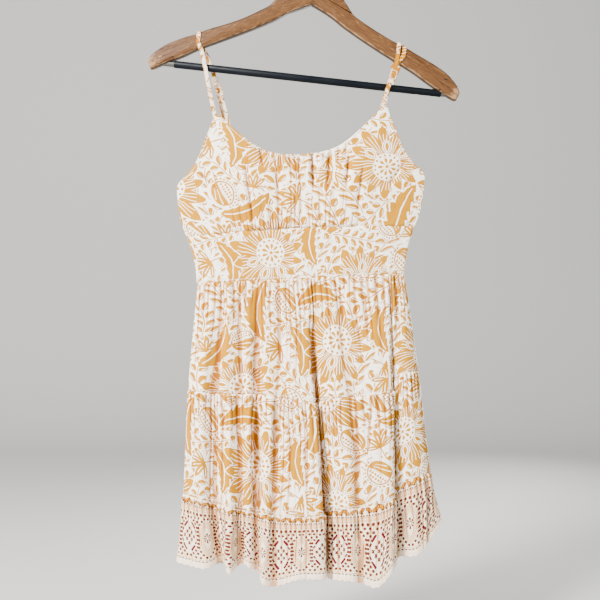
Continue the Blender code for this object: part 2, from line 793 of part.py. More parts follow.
def rounded_rectangle(half_wide, low, high, corner):
    """The corner points of a rectangle with rounded corners."""
    points = []
    centres = [
        (half_wide - corner, high - corner, 0),
        (-half_wide + corner, high - corner, 90),
        (-half_wide + corner, low + corner, 180),
        (half_wide - corner, low + corner, 270),
    ]
    for x, y, start in centres:
        for step in range(3):
            angle = math.radians(start + 45 * step)
            points.append((x + corner * math.cos(angle), y + corner * math.sin(angle)))
    return points


def slider(name, x, depth, z, lean, colour):
    """A flat slider with two windows and a middle bar."""
    window_wide, window_high = SLIDER_WINDOW
    high = SLIDER_MIDDLE + window_high + SLIDER_RIM
    outlines = [
        rounded_rectangle(window_wide + SLIDER_RIM, -high, high, SLIDER_CORNER),
        rounded_rectangle(window_wide, SLIDER_MIDDLE, SLIDER_MIDDLE + window_high, WINDOW_CORNER),
        rounded_rectangle(window_wide, -SLIDER_MIDDLE - window_high, -SLIDER_MIDDLE, WINDOW_CORNER),
    ]
    curve = bpy.data.curves.new(name, "CURVE")
    curve.dimensions = "2D"
    curve.fill_mode = "BOTH"
    curve.extrude = SLIDER_THICKNESS / 2 * MM
    for outline in outlines:
        spline = curve.splines.new("POLY")
        spline.points.add(len(outline) - 1)
        for point, (across, up) in zip(spline.points, outline):
            point.co = (across * MM, up * MM, 0.0, 1.0)
        spline.use_cyclic_u = True
    made = add_object(name, curve, colour, 0.4)
    made.location = (x * MM, depth * MM, z * MM)
    made.rotation_euler = (math.pi / 2, math.radians(lean), 0.0)
    return made


def strap_layers():
    """The depth of a strap's middle in each layer it can lie in."""
    step = STRAP_THICKNESS + SEAM_GAP
    stand_off = WALL + SEAM_GAP + STRAP_THICKNESS / 2
    front_seat = front_depth(120.0 / 178.0) + stand_off
    back_seat = back_depth(BACK_STRAP_TOP[0] / 178.0) - stand_off
    behind = BOARD / 2 + 0.4 + STRAP_THICKNESS / 2
    return {
        "front seat": front_seat,
        "first in front": -behind,
        "second in front": -behind - step,
        "first behind": behind,
        "second behind": behind + step,
        "under first behind": behind - step,
        "back seat": back_seat,
        "under back seat": back_seat - step,
    }


def build_straps():
    cream = (0.86, 0.78, 0.66)
    gold = (0.80, 0.66, 0.42)
    layers = strap_layers()

    def placed(rows):
        return [(x, layers[layer], z, lean) for x, layer, z, lean in rows]

    front = layers["first in front"]
    behind = layers["first behind"]
    far_front = layers["second in front"]
    far_behind = layers["second behind"]

    x, z, lean = LEFT_SLIDER
    left_slider = (x, behind + SLIDER_STAND_OFF, z, lean)
    left = placed(LEFT_STRAP_FRONT) + over_arm(LEFT_STRAP_OUT, front, behind)
    left += placed(LEFT_STRAP_ABOVE_SLIDER) + list(reversed(through_slider(*left_slider, 1.0)))
    left += placed(LEFT_STRAP_BELOW_SLIDER)
    strap("left_strap", left, cream)
    strap("left_strap_loop", placed(LEFT_LOOP), cream)
    slider("left_slider", *left_slider, gold)

    x, z, lean = RIGHT_SLIDER
    right_slider = (x, far_front - SLIDER_STAND_OFF, z, lean)
    right = placed(RIGHT_STRAP_BELOW_SLIDER) + through_slider(*right_slider, -1.0)
    right += placed(RIGHT_STRAP_ABOVE_SLIDER) + over_arm(RIGHT_STRAP_OUT, far_front, far_behind)
    right += placed(RIGHT_STRAP_BACK)
    strap("right_strap", right, cream)
    loop = placed(RIGHT_LOOP_FRONT) + over_arm(RIGHT_LOOP_OUT, front, behind) + placed(RIGHT_LOOP_BACK)
    strap("right_strap_loop", loop, cream)
    slider("right_slider", *right_slider, gold)


for old in list(bpy.data.objects):
    bpy.data.objects.remove(old)
DRESS = bpy.data.collections.new("sundress_on_a_hanger")
CUTTERS = bpy.data.collections.new("cutters")
bpy.context.scene.collection.children.link(DRESS)
bpy.context.scene.collection.children.link(CUTTERS)
build_dress()
build_hanger()
build_straps()
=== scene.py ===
# %% [markdown]
# # A sundress on a hanger
#
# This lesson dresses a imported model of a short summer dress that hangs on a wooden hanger. The solids of the
# model are fixed, and each visible piece here lies on its solid. Cloth comes first, then the straps, then the
# hanger. Lengths are in millimetres until a mesh is made. X is to the right as the dress is seen from the
# front, -Y is the front and +Z is up, and the origin is the inner crest of the hanger's hook.

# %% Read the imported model
import math

import bmesh
import bpy
import numpy as np
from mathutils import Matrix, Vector


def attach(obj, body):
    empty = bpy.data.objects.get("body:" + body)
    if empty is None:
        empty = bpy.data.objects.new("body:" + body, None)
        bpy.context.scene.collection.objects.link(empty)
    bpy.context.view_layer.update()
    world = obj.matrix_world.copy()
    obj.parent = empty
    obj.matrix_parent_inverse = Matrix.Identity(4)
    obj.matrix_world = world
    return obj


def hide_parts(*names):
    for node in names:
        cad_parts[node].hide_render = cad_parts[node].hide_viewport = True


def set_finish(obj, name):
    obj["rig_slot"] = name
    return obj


MM = 0.001
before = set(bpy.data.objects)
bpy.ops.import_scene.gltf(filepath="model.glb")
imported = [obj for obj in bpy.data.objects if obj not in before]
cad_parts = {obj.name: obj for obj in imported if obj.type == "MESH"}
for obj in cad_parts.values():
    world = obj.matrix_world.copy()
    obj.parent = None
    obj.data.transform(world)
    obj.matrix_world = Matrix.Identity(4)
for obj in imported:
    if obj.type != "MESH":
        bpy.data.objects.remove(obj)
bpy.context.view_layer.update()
print("solids in the model:", len(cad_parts))

# %% [markdown]
# Each thing in the scene is an object that shows its data: a mesh, a light or a camera. A mesh is shaded
# smooth, and stays sharp where its faces meet at more than a named angle.

# %% Helpers for objects and meshes


def in_scene(name, data):
    """A new object in the scene that shows the data."""
    made = bpy.data.objects.new(name, data)
    bpy.context.scene.collection.objects.link(made)
    return made


def smoothed(mesh, sharp=None):
    """A mesh shaded smooth, but for edges sharper than so many degrees."""
    mesh.shade_smooth()
    if sharp:
        mesh.set_sharp_from_angle(angle=math.radians(sharp))
    return mesh


def finished(shape, name, sharp=None):
    """The mesh of a bmesh that is done."""
    mesh = bpy.data.meshes.new(name)
    shape.to_mesh(mesh)
    shape.free()
    return smoothed(mesh, sharp)


# %% [markdown]
# The camera stands level with the middle of the dress and looks straight at it, as a phone held at chest
# height does. It comes first, so that every later step can be looked at through it.

# %% Camera
CAMERA_PLACE = (-0.028, -1.306, -0.5423)
CAMERA_LENS = 54.545

camera_data = bpy.data.cameras.new("camera")
camera_data.lens = CAMERA_LENS
camera = in_scene("camera", camera_data)
camera.location = CAMERA_PLACE
camera.rotation_euler = (math.pi / 2, 0.0, 0.0)
bpy.context.scene.camera = camera
print("camera lens:", CAMERA_LENS, "mm")

# %% [markdown]
# ## The cut of the dress
#
# A dressmaker draws half a pattern and mirrors it. These tables are that half pattern, measured out from the
# middle line and down from the hook. A sculpted mesh could hold the shape too, but a pattern keeps each size
# in one place, where it can be read and changed. The dress hangs with its right side a little higher, which
# LEAN adds.

# %% Half pattern of the bodice
MIDDLE = -27.0
LEAN = 0.047
BUST_SEAM = -440.0
BUST_SEAM_ARCH = 4.0
WAIST = -511.0
FRONT_FULLNESS = 10.5
BACK_FULLNESS = 9.0
SIDE_DEPTH = 1.35
BUST_PUFF = 4.5
BUST_OUT = 78.0
BUST_SPREAD = 48.0
FRONT_STRAP_TOP = (120.0, -273.6)
BACK_SIDE_TOP = (150.0, -367.0)
BACK_STRAP_TOP = (93.0, -349.0)
BACK_DIP = 3.0

# Each row is a height and half the width there
BODICE_WIDTHS = [
    (-511, 149.5),
    (-490, 151.0),
    (-475, 154.0),
    (-455, 159.5),
    (-440, 165.5),
    (-420, 172.5),
    (-395, 176.5),
    (-377, 178.0),
]

# Each row is a distance out from the middle and a height
ARMHOLE = [
    (178.0, -377),
    (175.0, -367),
    (161.0, -353),
    (147.0, -333),
    (135.5, -304),
    (128.5, -288),
    (124.0, -274),
]
NECKLINE = [
    (116.0, -274),
    (103.0, -286),
    (87.0, -301),
    (69.0, -316),
    (55.0, -325),
    (40.0, -330.5),
    (22.0, -334),
    (0.0, -335.5),
]

# %% [markdown]
# The skirt falls in folds from waist to hem. Each row of the table follows one fold's crest or hollow down:
# its place across at the waist, then its place across, its depth and its height at each seam below. The folds
# of the back are only named by how far along they lie and how far they stand out. A simulation would let the
# cloth fall into folds of its own, but these very folds are wanted, so they are listed one by one.

# %% Folds of the front
FRONT_FOLDS = [
    ("left seam", -175, (-189, -2, -671), (-196, -2, -819), (-206, -2, -917)),
    ("left turn", -171, (-184, -9, -672), (-189, -11, -820), (-194, -12, -918)),
    ("left pipe", -158, (-167, -17, -673), (-167, -21, -824), (-161, -24, -921)),
    ("b hollow", -141, (-150, -11, -675), (-149, -12, -831), (-139, -11, -914)),
    ("b pipe", -128, (-130, -19, -675), (-128, -26, -834), (-127, -35, -925)),
    ("c hollow", -113, (-113, -14, -676), (-113, -17, -839), (-112, -19, -915)),
    ("c pipe", -102, (-101, -19, -675), (-100, -22, -840), (-100, -24, -919)),
    ("d hollow", -90, (-90, -13, -676), (-89, -14, -844), (-87, -19, -926)),
    ("d pipe", -76, (-75, -22, -677), (-77, -30, -842), (-80, -38, -938)),
    ("e hollow", -56, (-57, -20, -680), (-63, -27, -845), (-62, -33, -943)),
    ("e pipe", -35, (-31, -25, -683), (-28, -34, -846), (-28, -42, -931)),
    ("f lip", -19, (-9, -25, -686), (3, -36, -843), (7, -42, -930)),
    ("f hollow", -12, (-5, -10, -686), (4, -10, -843), (8, -14, -927)),
    ("f far side", -5, (4, -17, -685), (17, -20, -839), (14, -28, -934)),
    ("h pipe", 12, (28, -24, -680), (42, -33, -835), (42, -40, -934)),
    ("h hollow", 28, (47, -21, -679), (55, -29, -834), (59, -35, -938)),
    ("i pipe", 69, (78, -24, -676), (83, -33, -828), (81, -41, -942)),
    ("g lip", 94, (100, -22, -673), (103, -31, -821), (104, -36, -917)),
    ("g hollow", 100, (105, -8, -664), (107, -8, -816), (108, -8, -915)),
    ("g far side", 105, (109, -12, -652), (112, -14, -805), (114, -16, -906)),
    ("right pipe", 113, (123, -14, -645), (132, -18, -795), (137, -21, -903)),
    ("right turn", 118, (135, -9, -644), (150, -12, -790), (155, -14, -885)),
    ("right seam", 122, (142, -2, -643), (160, -2, -789), (177, -2, -861)),
]

# %% Folds of the back
# Each row is a fold, its share of the way from the left seam, and how full it stands from 0 to 1
BACK_FOLDS = [
    ("left seam", 0.000, 0.0),
    ("left turn", 0.030, 0.35),
    ("j pipe", 0.075, 0.75),
    ("j hollow", 0.150, 0.10),
    ("k pipe", 0.215, 0.90),
    ("k hollow", 0.270, 0.25),
    ("l pipe", 0.325, 0.80),
    ("l hollow", 0.405, 0.00),
    ("m pipe", 0.470, 1.00),
    ("m hollow", 0.525, 0.45),
    ("n pipe", 0.575, 0.85),
    ("n hollow", 0.655, 0.05),
    ("o pipe", 0.725, 0.95),
    ("o hollow", 0.785, 0.35),
    ("p pipe", 0.835, 0.80),
    ("p hollow", 0.895, 0.20),
    ("right pipe", 0.935, 0.65),
    ("right turn", 0.972, 0.35),
    ("right seam", 1.000, 0.0),
]
# Each row is a seam line, the depth of a hollow and of a full pipe there, and how far its middle hangs down
BACK_LEVELS = [
    ("waist", 9, 11, 0),
    ("tier seam", 12, 20, 8),
    ("band seam", 14, 27, 20),
    ("hem", 15, 34, 36),
]
print(len(FRONT_FOLDS), "lines of folds in front,", len(BACK_FOLDS), "at the back")

# %% [markdown]
# A smooth curve through a table's rows gives a place between two of them. The same curve serves the edges of
# the bodice, the folds from seam to seam and the arms of the hanger.

# %% A smooth curve through rows


def smooth(rows, places):
    """Points on a smooth curve through rows. A whole number is a row."""
    rows = np.asarray(rows, dtype=float)
    places = np.asarray(places, dtype=float)
    first = np.clip(places.astype(int), 0, len(rows) - 2)
    share = (places - first).reshape(places.shape + (1,) * (rows.ndim - 1))
    before = rows[np.maximum(first - 1, 0)]
    start = rows[first]
    end = rows[first + 1]
    after = rows[np.minimum(first + 2, len(rows) - 1)]
    return 0.5 * (
        2 * start
        + (end - before) * share
        + (2 * before - 5 * start + 4 * end - after) * share**2
        + (3 * start - before - 3 * end + after) * share**3
    )


def finely(rows, count):
    """The same curve at so many even steps."""
    return smooth(rows, np.linspace(0, len(rows) - 1, count))


def unit(vectors):
    """Vectors brought to length 1."""
    return vectors / np.maximum(np.linalg.norm(vectors, axis=-1, keepdims=True), 1e-9)


def lengths_along(points):
    """How far along a row of points each one lies, or how far down its column in a sheet of them."""
    steps = np.linalg.norm(np.diff(points, axis=0), axis=-1)
    return np.concatenate([np.zeros_like(steps[:1]), np.cumsum(steps, axis=0)])


def evenly(points, spacing):
    """Places along a row of points, as shares of its indices, that lie evenly about spacing apart."""
    along = lengths_along(points)
    count = max(2, round(along[-1] / spacing) + 1)
    return np.interp(np.linspace(0.0, along[-1], count), along, np.arange(len(points)))


def ease(value):
    """0 up to 0, 1 from 1 on and a soft step between."""
    value = np.clip(value, 0.0, 1.0)
    return value * value * (3.0 - 2.0 * value)


# %% [markdown]
# ## Where each panel lies
#
# Every panel is a sheet of rows and columns. These functions give its outer face as an array of places, row
# by row from its upper seam down. The front's columns run from the left to the right and the back's from the
# right to the left, so that both sheets face outwards.

# %% Rows and columns
COLUMN = 1.5
ROW = 2.6
SEAM_ROWS = [0.0, 0.7, 1.5, 2.5, 3.8]


def down_shares(length):
    """Rows of a panel as shares of its length, closer together at its seams."""
    middle = np.arange(SEAM_ROWS[-1] + ROW, length - SEAM_ROWS[-1] - ROW / 2, ROW)
    rows = np.concatenate([SEAM_ROWS, middle, length - np.array(SEAM_ROWS[::-1])])
    return rows / length


def half_width(height):
    """Half the bodice's width, with the table's corners eased."""
    heights, widths = np.transpose(BODICE_WIDTHS)
    return np.mean([np.interp(height + near, heights, widths) for near in (-8, -4, 0, 4, 8)], axis=0)


def swell(share):
    """How full a panel stands between its side seams."""
    return 1.0 - np.minimum(np.abs(share), 1.0) ** 4


def front_depth(share):
    return -(SIDE_DEPTH + FRONT_FULLNESS * swell(share))


def back_depth(share):
    return SIDE_DEPTH + BACK_FULLNESS * swell(share)


def bust_seam_height(share):
    return BUST_SEAM - BUST_SEAM_ARCH * share**2


def half_pattern_places(out, height, depth):
    """Places on the dress as it hangs, from the bodice's pattern."""
    return np.stack([MIDDLE + out, np.broadcast_to(depth, out.shape), height + LEAN * out], axis=-1)


# %% Upper bodice
FRONT_TOP_LENGTH = 120.0
BACK_TOP_LENGTH = 85.0


def mirrored_edge(right):
    """A top edge from one side seam to the other, from its right half."""
    left = right * np.array((-1.0, 1.0))
    return np.concatenate([left, right[-2::-1]])


def front_top_edge():
    strap_end = np.array([FRONT_STRAP_TOP])
    edge = mirrored_edge(np.concatenate([finely(ARMHOLE, 400), strap_end, finely(NECKLINE, 400)]))
    return smooth(edge, evenly(edge, COLUMN))


def back_top_edge():
    rise = finely([ARMHOLE[0], BACK_SIDE_TOP, BACK_STRAP_TOP], 200)
    out, height = BACK_STRAP_TOP
    share = np.linspace(0, 1, 200)[1:]
    straight = np.stack([out * (1 - share), height - BACK_DIP * share], axis=-1)
    edge = mirrored_edge(np.concatenate([rise, straight]))
    return smooth(edge, evenly(edge, 2 * COLUMN))


def upper_bodice(edge, downs, depth, puff_out):
    share = edge[:, 0] / half_width(edge[:, 1])
    down = downs[:, None]
    height = edge[:, 1] + down * (bust_seam_height(share) - edge[:, 1])
    out = share * half_width(height)
    puff = puff_out * np.sin(math.pi * np.minimum(down * 1.02, 1.0)) ** 1.2
    puff = puff * np.exp(-(((np.abs(out) - BUST_OUT) / BUST_SPREAD) ** 2))
    return half_pattern_places(out, height, depth(share) - puff)


# %% Midriff


def midriff(downs, depth, spacing):
    count = round(2 * half_width(WAIST).item() / spacing)
    share = np.linspace(-1, 1, count + 1)
    top = bust_seam_height(share)
    height = top + downs[:, None] * (WAIST - top)
    out = share * half_width(height)
    return half_pattern_places(out, height, depth(share))


# %% Skirt
EVEN_AT = 0.7


def waist_place(x, depth):
    """A fold's start on the waist seam."""
    share = (x - MIDDLE) / half_width(WAIST)
    return x, float(depth(share)), WAIST + LEAN * (x - MIDDLE)


def front_folds():
    """The front's folds as an array: level by fold by place."""
    waist = [waist_place(row[1], front_depth) for row in FRONT_FOLDS]
    below = [[row[level] for row in FRONT_FOLDS] for level in (2, 3, 4)]
    return np.array([waist, *below], dtype=float)


def back_folds():
    """The back's folds, between the side seams of the front."""
    front = front_folds()
    levels = []
    for level, (_, hollow, pipe, droop) in enumerate(BACK_LEVELS):
        left, right = front[level, 0], front[level, -1]
        row = []
        for _, share, stand in BACK_FOLDS:
            place = left + (right - left) * share
            depth = hollow + (pipe - hollow) * stand
            place[1] = SIDE_DEPTH + (depth - SIDE_DEPTH) * swell(2 * share - 1)
            place[2] -= droop * (1.0 - abs(2 * share - 1) ** 1.6)
            row.append(place)
        levels.append(row)
    levels[0] = [list(waist_place(x, back_depth)) for x, _, _ in levels[0]]
    return np.array(levels, dtype=float)


def tier(folds, level, downs, spacing):
    """Places of one tier of the skirt, with its columns evenly spaced EVEN_AT of the way down."""
    by_fold = smooth(folds, level + downs).transpose(1, 0, 2)
    fine = finely(by_fold, 4000)
    across = evenly(fine[:, int(len(downs) * EVEN_AT)], spacing) * (len(by_fold) - 1) / (len(fine) - 1)
    return smooth(by_fold, across).transpose(1, 0, 2)


print("half width under the arms:", round(half_width(-377).item(), 1), "mm")

# %% [markdown]
# ## Creases and gathers
#
# Soft cloth is never even. Three things are laid over a panel: long creases listed one by one, the short
# gathers that a seam pinches into the cloth sewn to it, and a slight unevenness. Sculpting or a simulation
# could make them too. Here each is a formula that moves the sheet along its own outward direction, so it
# comes out the same every time.

# %% Outward directions and creases


def outward(places):
    """The outward direction at each place of a sheet."""
    return unit(np.cross(np.gradient(places, axis=0), np.gradient(places, axis=1)))


CREASE_STRENGTH = 2.2
CREASE_SPREAD = 0.85
CREASE_SHARPNESS = 1.1


def crease_relief(places, creases):
    """How far the listed creases move each place. A row is a name, a line as (x, z) points, its depth, its
    half width, and the share of its length over which it fades at either end."""
    flat = places[..., [0, 2]]
    total = np.zeros(flat.shape[:2])
    for _, line, depth, half, fade in creases:
        line = np.array(line, dtype=float)
        along = lengths_along(line)
        nearest = np.full(total.shape, np.inf)
        share = np.zeros(total.shape)
        for start, end, start_along, end_along in zip(line, line[1:], along, along[1:]):
            step = end - start
            part = np.clip((flat - start) @ step / (step @ step), 0.0, 1.0)
            distance = np.linalg.norm(flat - start - part[..., None] * step, axis=-1)
            closer = distance < nearest
            nearest[closer] = distance[closer]
            share[closer] = (start_along + part * (end_along - start_along))[closer] / along[-1]
        fading = ease(share / fade) * ease((1.0 - share) / fade)
        profile = np.exp(-((nearest / half / CREASE_SPREAD) ** CREASE_SHARPNESS))
        total -= CREASE_STRENGTH * depth * fading * profile
    return total


# %% Gathers and unevenness


def gather_relief(across, distance, spread, pitch, height, reach, seed):
    """Uneven little ridges between stitches. across runs along the seam and distance away from it, and spread
    is where the gathers start and end."""
    chance = np.random.default_rng(seed)
    start, end = spread
    gaps = pitch * chance.uniform(0.55, 1.5, int((end - start) / pitch) + 1)
    valleys = start + np.concatenate([[0.0], np.cumsum(gaps)]) * (end - start) / gaps.sum()
    heights = height * chance.uniform(0.45, 1.35, len(gaps))
    reaches = reach * chance.uniform(0.4, 1.0, len(gaps)) ** 1.5
    reaches[chance.random(len(gaps)) > 0.8] *= 1.9
    drift = chance.uniform(0, 2 * math.pi, 3)
    wander = 1.6 * np.sin(across / 23.0 + drift[0] + distance / 31.0) + 1.1 * np.sin(across / 9.0 + drift[1])
    across = across + wander * ease(distance / 40.0)
    index = np.clip(np.searchsorted(valleys, across, side="right") - 1, 0, len(gaps) - 1)
    share = (across - valleys[index]) / gaps[index] * (gaps.sum() / (end - start))
    inside = (across > start) & (across < end)
    ridge = np.sin(math.pi * np.clip(share, 0.0, 1.0)) ** 0.85
    fade = np.exp(-((distance / reaches[index]) ** 1.6)) * ease(distance / 3.0)
    return np.where(inside, heights[index] * ridge * fade, 0.0)


def unevenness(across, down, height, seed):
    """A slight waviness of the whole sheet."""
    chance = np.random.default_rng(seed)
    total = np.zeros(np.broadcast(across, down).shape)
    for length in (90.0, 61.0, 43.0, 30.0, 21.0):
        turn, phase, lean = chance.uniform(0, 2 * math.pi, 3)
        wave = np.sin(across / length * 2 * math.pi + turn + np.sin(down / length * 2.2 + lean))
        total += wave * np.cos(down / length * 1.7 + phase) * length / 90.0
    return total * height


# %% [markdown]
# The creases that show from a step away are listed one by one. A depth below nothing is a ridge. The
# front's come first, from the tucks at the neck to the long soft channels of the skirt, then similar ones
# for the back.

# %% Creases of the front
FRONT_CREASES = [
    ("left neck tuck", [(-86, -322), (-84, -334), (-81, -352)], 2.0, 2.6, 0.3),
    ("left long crease", [(-107, -346), (-101, -385), (-94, -436)], 2.0, 2.5, 0.25),
    ("left slack crease", [(-64, -340), (-60, -372), (-58, -420)], 1.5, 3.8, 0.35),
    ("middle tuck", [(-11, -328), (-10, -352), (-9, -386)], 3.2, 2.5, 0.2),
    ("middle tuck lip", [(-17, -332), (-16.5, -352), (-16, -380)], -1.0, 3.4, 0.35),
    ("right middle tuck", [(13, -330), (13, -352), (12, -384)], 2.2, 3.0, 0.25),
    ("right neck tuck", [(41, -334), (40, -356), (37, -386)], 2.5, 2.6, 0.25),
    ("right slack crease", [(62, -345), (58, -380), (52, -425)], 1.5, 3.8, 0.35),
    ("left arm crease", [(-176, -352), (-160, -372), (-138, -390)], 1.2, 5.0, 0.4),
    ("right arm crease", [(124, -340), (110, -362), (92, -384)], 1.2, 5.0, 0.4),
    ("left drag line", [(-190, -430), (-150, -418), (-118, -396)], 0.8, 6.0, 0.45),
    ("right drag line", [(134, -424), (100, -410), (72, -392)], 0.8, 6.0, 0.45),
    ("left waist pull", [(-174, -500), (-140, -494), (-96, -500)], 0.6, 5.0, 0.45),
    ("right waist pull", [(120, -496), (84, -490), (44, -496)], 0.6, 5.0, 0.45),
    ("b channel", [(-138, -512), (-142, -580), (-147, -656)], 1.8, 5.0, 0.25),
    ("c channel", [(-113, -520), (-113, -600), (-113, -672)], 1.5, 4.0, 0.25),
    ("d channel", [(-90, -518), (-90, -600), (-90, -674)], 1.9, 4.2, 0.25),
    ("e channel", [(-57, -512), (-56, -570), (-57, -646)], 1.3, 4.5, 0.3),
    ("f start", [(-15, -556), (-11, -600), (-7, -672)], 1.8, 3.6, 0.3),
    ("h channel", [(28, -510), (30, -545), (33, -578)], 1.6, 3.6, 0.3),
    ("i channel", [(62, -512), (66, -552), (70, -600)], 1.0, 5.0, 0.35),
    ("b lower channel", [(-151, -672), (-151, -750), (-151, -830)], 1.6, 5.0, 0.25),
    ("slant channel", [(-134, -678), (-136, -705), (-139, -732)], 1.2, 3.6, 0.35),
    ("c lower channel", [(-117, -676), (-115, -730), (-112, -786)], 1.6, 4.0, 0.25),
    ("d lower channel", [(-90, -690), (-90, -740), (-88, -796)], 2.2, 4.0, 0.25),
    ("e lower channel", [(-60, -684), (-61, -745), (-62, -812)], 1.3, 5.0, 0.3),
    ("f lower lip", [(-30, -688), (-22, -750), (-18, -815)], 0.9, 6.0, 0.35),
    ("h lower channel", [(50, -684), (53, -745), (56, -800)], 1.4, 5.0, 0.3),
    ("i lower channel", [(74, -676), (70, -720), (66, -770)], 1.0, 4.0, 0.35),
    ("band ridge", [(-125, -834), (-127, -880), (-129, -930)], -1.4, 4.0, 0.25),
    ("band crease", [(-64, -846), (-64, -880), (-63, -930)], 1.6, 4.0, 0.25),
    ("band pinch", [(54, -846), (55, -868), (57, -890)], 1.8, 4.5, 0.35),
    ("band right crease", [(20, -850), (24, -885), (26, -928)], 1.2, 5.0, 0.3),
]

# %% Creases of the back
BACK_CREASES = [
    ("right shoulder crease", [(92, -356), (74, -386), (58, -430)], 1.2, 5.0, 0.35),
    ("middle slack crease", [(-22, -360), (-28, -396), (-30, -436)], 0.9, 5.5, 0.4),
    ("left shoulder crease", [(-146, -358), (-130, -388), (-118, -432)], 1.1, 5.0, 0.35),
    ("right waist pull", [(118, -492), (82, -486), (40, -494)], 0.7, 5.5, 0.45),
    ("left waist pull", [(-172, -498), (-136, -490), (-90, -498)], 0.7, 5.5, 0.45),
    ("o channel", [(66, -512), (70, -580), (72, -652)], 1.7, 4.6, 0.25),
    ("n channel", [(22, -514), (24, -572), (22, -640)], 1.4, 4.2, 0.3),
    ("m channel", [(-20, -512), (-22, -590), (-26, -668)], 1.8, 4.8, 0.25),
    ("l channel", [(-58, -516), (-60, -566), (-58, -622)], 1.3, 4.0, 0.3),
    ("k channel", [(-98, -514), (-102, -590), (-106, -664)], 1.7, 4.6, 0.25),
    ("j channel", [(-134, -518), (-140, -572), (-146, -640)], 1.1, 4.4, 0.3),
    ("p lower channel", [(98, -672), (100, -730), (104, -788)], 1.5, 4.6, 0.3),
    ("o lower channel", [(58, -684), (60, -750), (58, -822)], 1.8, 4.8, 0.25),
    ("n lower channel", [(14, -690), (16, -738), (12, -792)], 1.3, 4.0, 0.3),
    ("m lower channel", [(-34, -692), (-36, -760), (-32, -836)], 1.9, 4.8, 0.25),
    ("k lower channel", [(-84, -688), (-86, -742), (-90, -800)], 1.4, 4.4, 0.3),
    ("j lower channel", [(-136, -678), (-140, -740), (-146, -806)], 1.6, 4.6, 0.25),
    ("right band crease", [(72, -856), (74, -890), (76, -930)], 1.4, 4.4, 0.3),
    ("middle band crease", [(-12, -862), (-10, -902), (-6, -950)], 1.6, 4.6, 0.3),
    ("left band crease", [(-104, -850), (-106, -888), (-110, -934)], 1.4, 4.2, 0.3),
]
print(len(FRONT_CREASES), "creases in front,", len(BACK_CREASES), "at the back")

# %% [markdown]
# ## Making a panel
#
# A grid operator gives the sheet its rows and columns, and each corner then moves to its place. The cloth
# carries two maps. One is the cloth as it was cut, flat, in millimetres, and the print and the weave follow
# it. The other runs along the finished edge, for the stitching. A free edge is turned in and comes back up
# behind the sheet, and a seam's lower sheet starts a little above and behind the upper one, so that no gap
# shows between them.

# %% Sheets with maps
CLOTH_THICKNESS = 0.45
FOLD_STEPS = [(0.3, 0.25), (0.45, 0.7), (0.3, 1.15)]
FLAP_DEPTH = 1.4
TUCK_UP = 1.4
TUCK_BEHIND = 0.35


def hollows(places):
    """How deep each place lies between its neighbours along the row, in millimetres."""
    facing = outward(places)
    total = np.zeros(places.shape[:2])
    for step in (1, 2, 3):
        inner = slice(step, -step)
        middle = (places[:, : -2 * step] + places[:, 2 * step :]) / 2
        total[:, inner] += np.sum((middle - places[:, inner]) * facing[:, inner], axis=-1) / step
    return total


def sheet_mesh(name, places, maps):
    """A mesh whose corners lie at places, in rows and columns, with a UV map for each of maps."""
    down, across = places.shape[0] - 1, places.shape[1] - 1
    shape = bmesh.new()
    bmesh.ops.create_grid(shape, x_segments=across, y_segments=down, size=0.5)
    mesh = bpy.data.meshes.new(name)
    shape.to_mesh(mesh)
    shape.free()
    at = np.empty(len(mesh.vertices) * 3)
    mesh.vertices.foreach_get("co", at)
    at = at.reshape(-1, 3)
    column = np.rint((at[:, 0] + 0.5) * across).astype(int)
    row = np.rint((0.5 - at[:, 1]) * down).astype(int)
    mesh.vertices.foreach_set("co", (places[row, column] * MM).ravel())
    corner = np.empty(len(mesh.loops), dtype=int)
    mesh.loops.foreach_get("vertex_index", corner)
    for map_name, values in maps.items():
        layer = mesh.uv_layers.new(name=map_name)
        layer.data.foreach_set("uv", (values[row, column][corner] * MM).ravel())
    # the depth of each hollow is kept as an attribute, for the painted shade in the cloth's creases
    hollow = mesh.attributes.new("hollow", "FLOAT", "POINT")
    hollow.data.foreach_set("value", hollows(places)[row, column].astype(np.float32))
    mesh.update()
    return smoothed(mesh)


# %% Turned edges and tucked seams


def turned_in(places, flat, stitch, deep):
    """Adds an edge that is turned in behind the last row and comes back up as far as deep."""
    facing = outward(places)
    down = unit(places[-1] - places[-2])
    added = [places[-1] + down * beyond - facing[-1] * behind for beyond, behind in FOLD_STEPS]
    rise = np.median(np.abs(stitch[-1, :, 1][None] - stitch[:, :, 1]), axis=1)
    back = [row for row in range(len(places) - 1, 0, -1) if rise[row] <= deep]
    added += [places[row] - facing[row] * FLAP_DEPTH for row in back]
    lengths = [0.5, 1.0, 1.5] + [1.5 + rise[row] for row in back]
    further = np.array([(0.0, -length) for length in lengths])[:, None]
    return (
        np.concatenate([places, added]),
        np.concatenate([flat, flat[-1] + further]),
        np.concatenate([stitch, stitch[-1] + further]),
    )


def tucked_under(places, flat, stitch):
    """Adds a row above the first one, behind the panel that is sewn over it."""
    up = unit(places[0] - places[1])
    added = places[0] + up * TUCK_UP - outward(places)[0] * TUCK_BEHIND
    lift = np.array((0.0, TUCK_UP))
    return (
        np.concatenate([[added], places]),
        np.concatenate([[flat[0] + lift], flat]),
        np.concatenate([[stitch[0] + lift], stitch]),
    )


# %% [markdown]
# The table names each panel's cut: the cloth that shows, as it leaves the scissors and before it is gathered,
# in metres, and the share of that rectangle which the shape fills. A Solidify modifier gives the sheet its
# thickness, on the inside only, so that the outer face stays where it was measured.

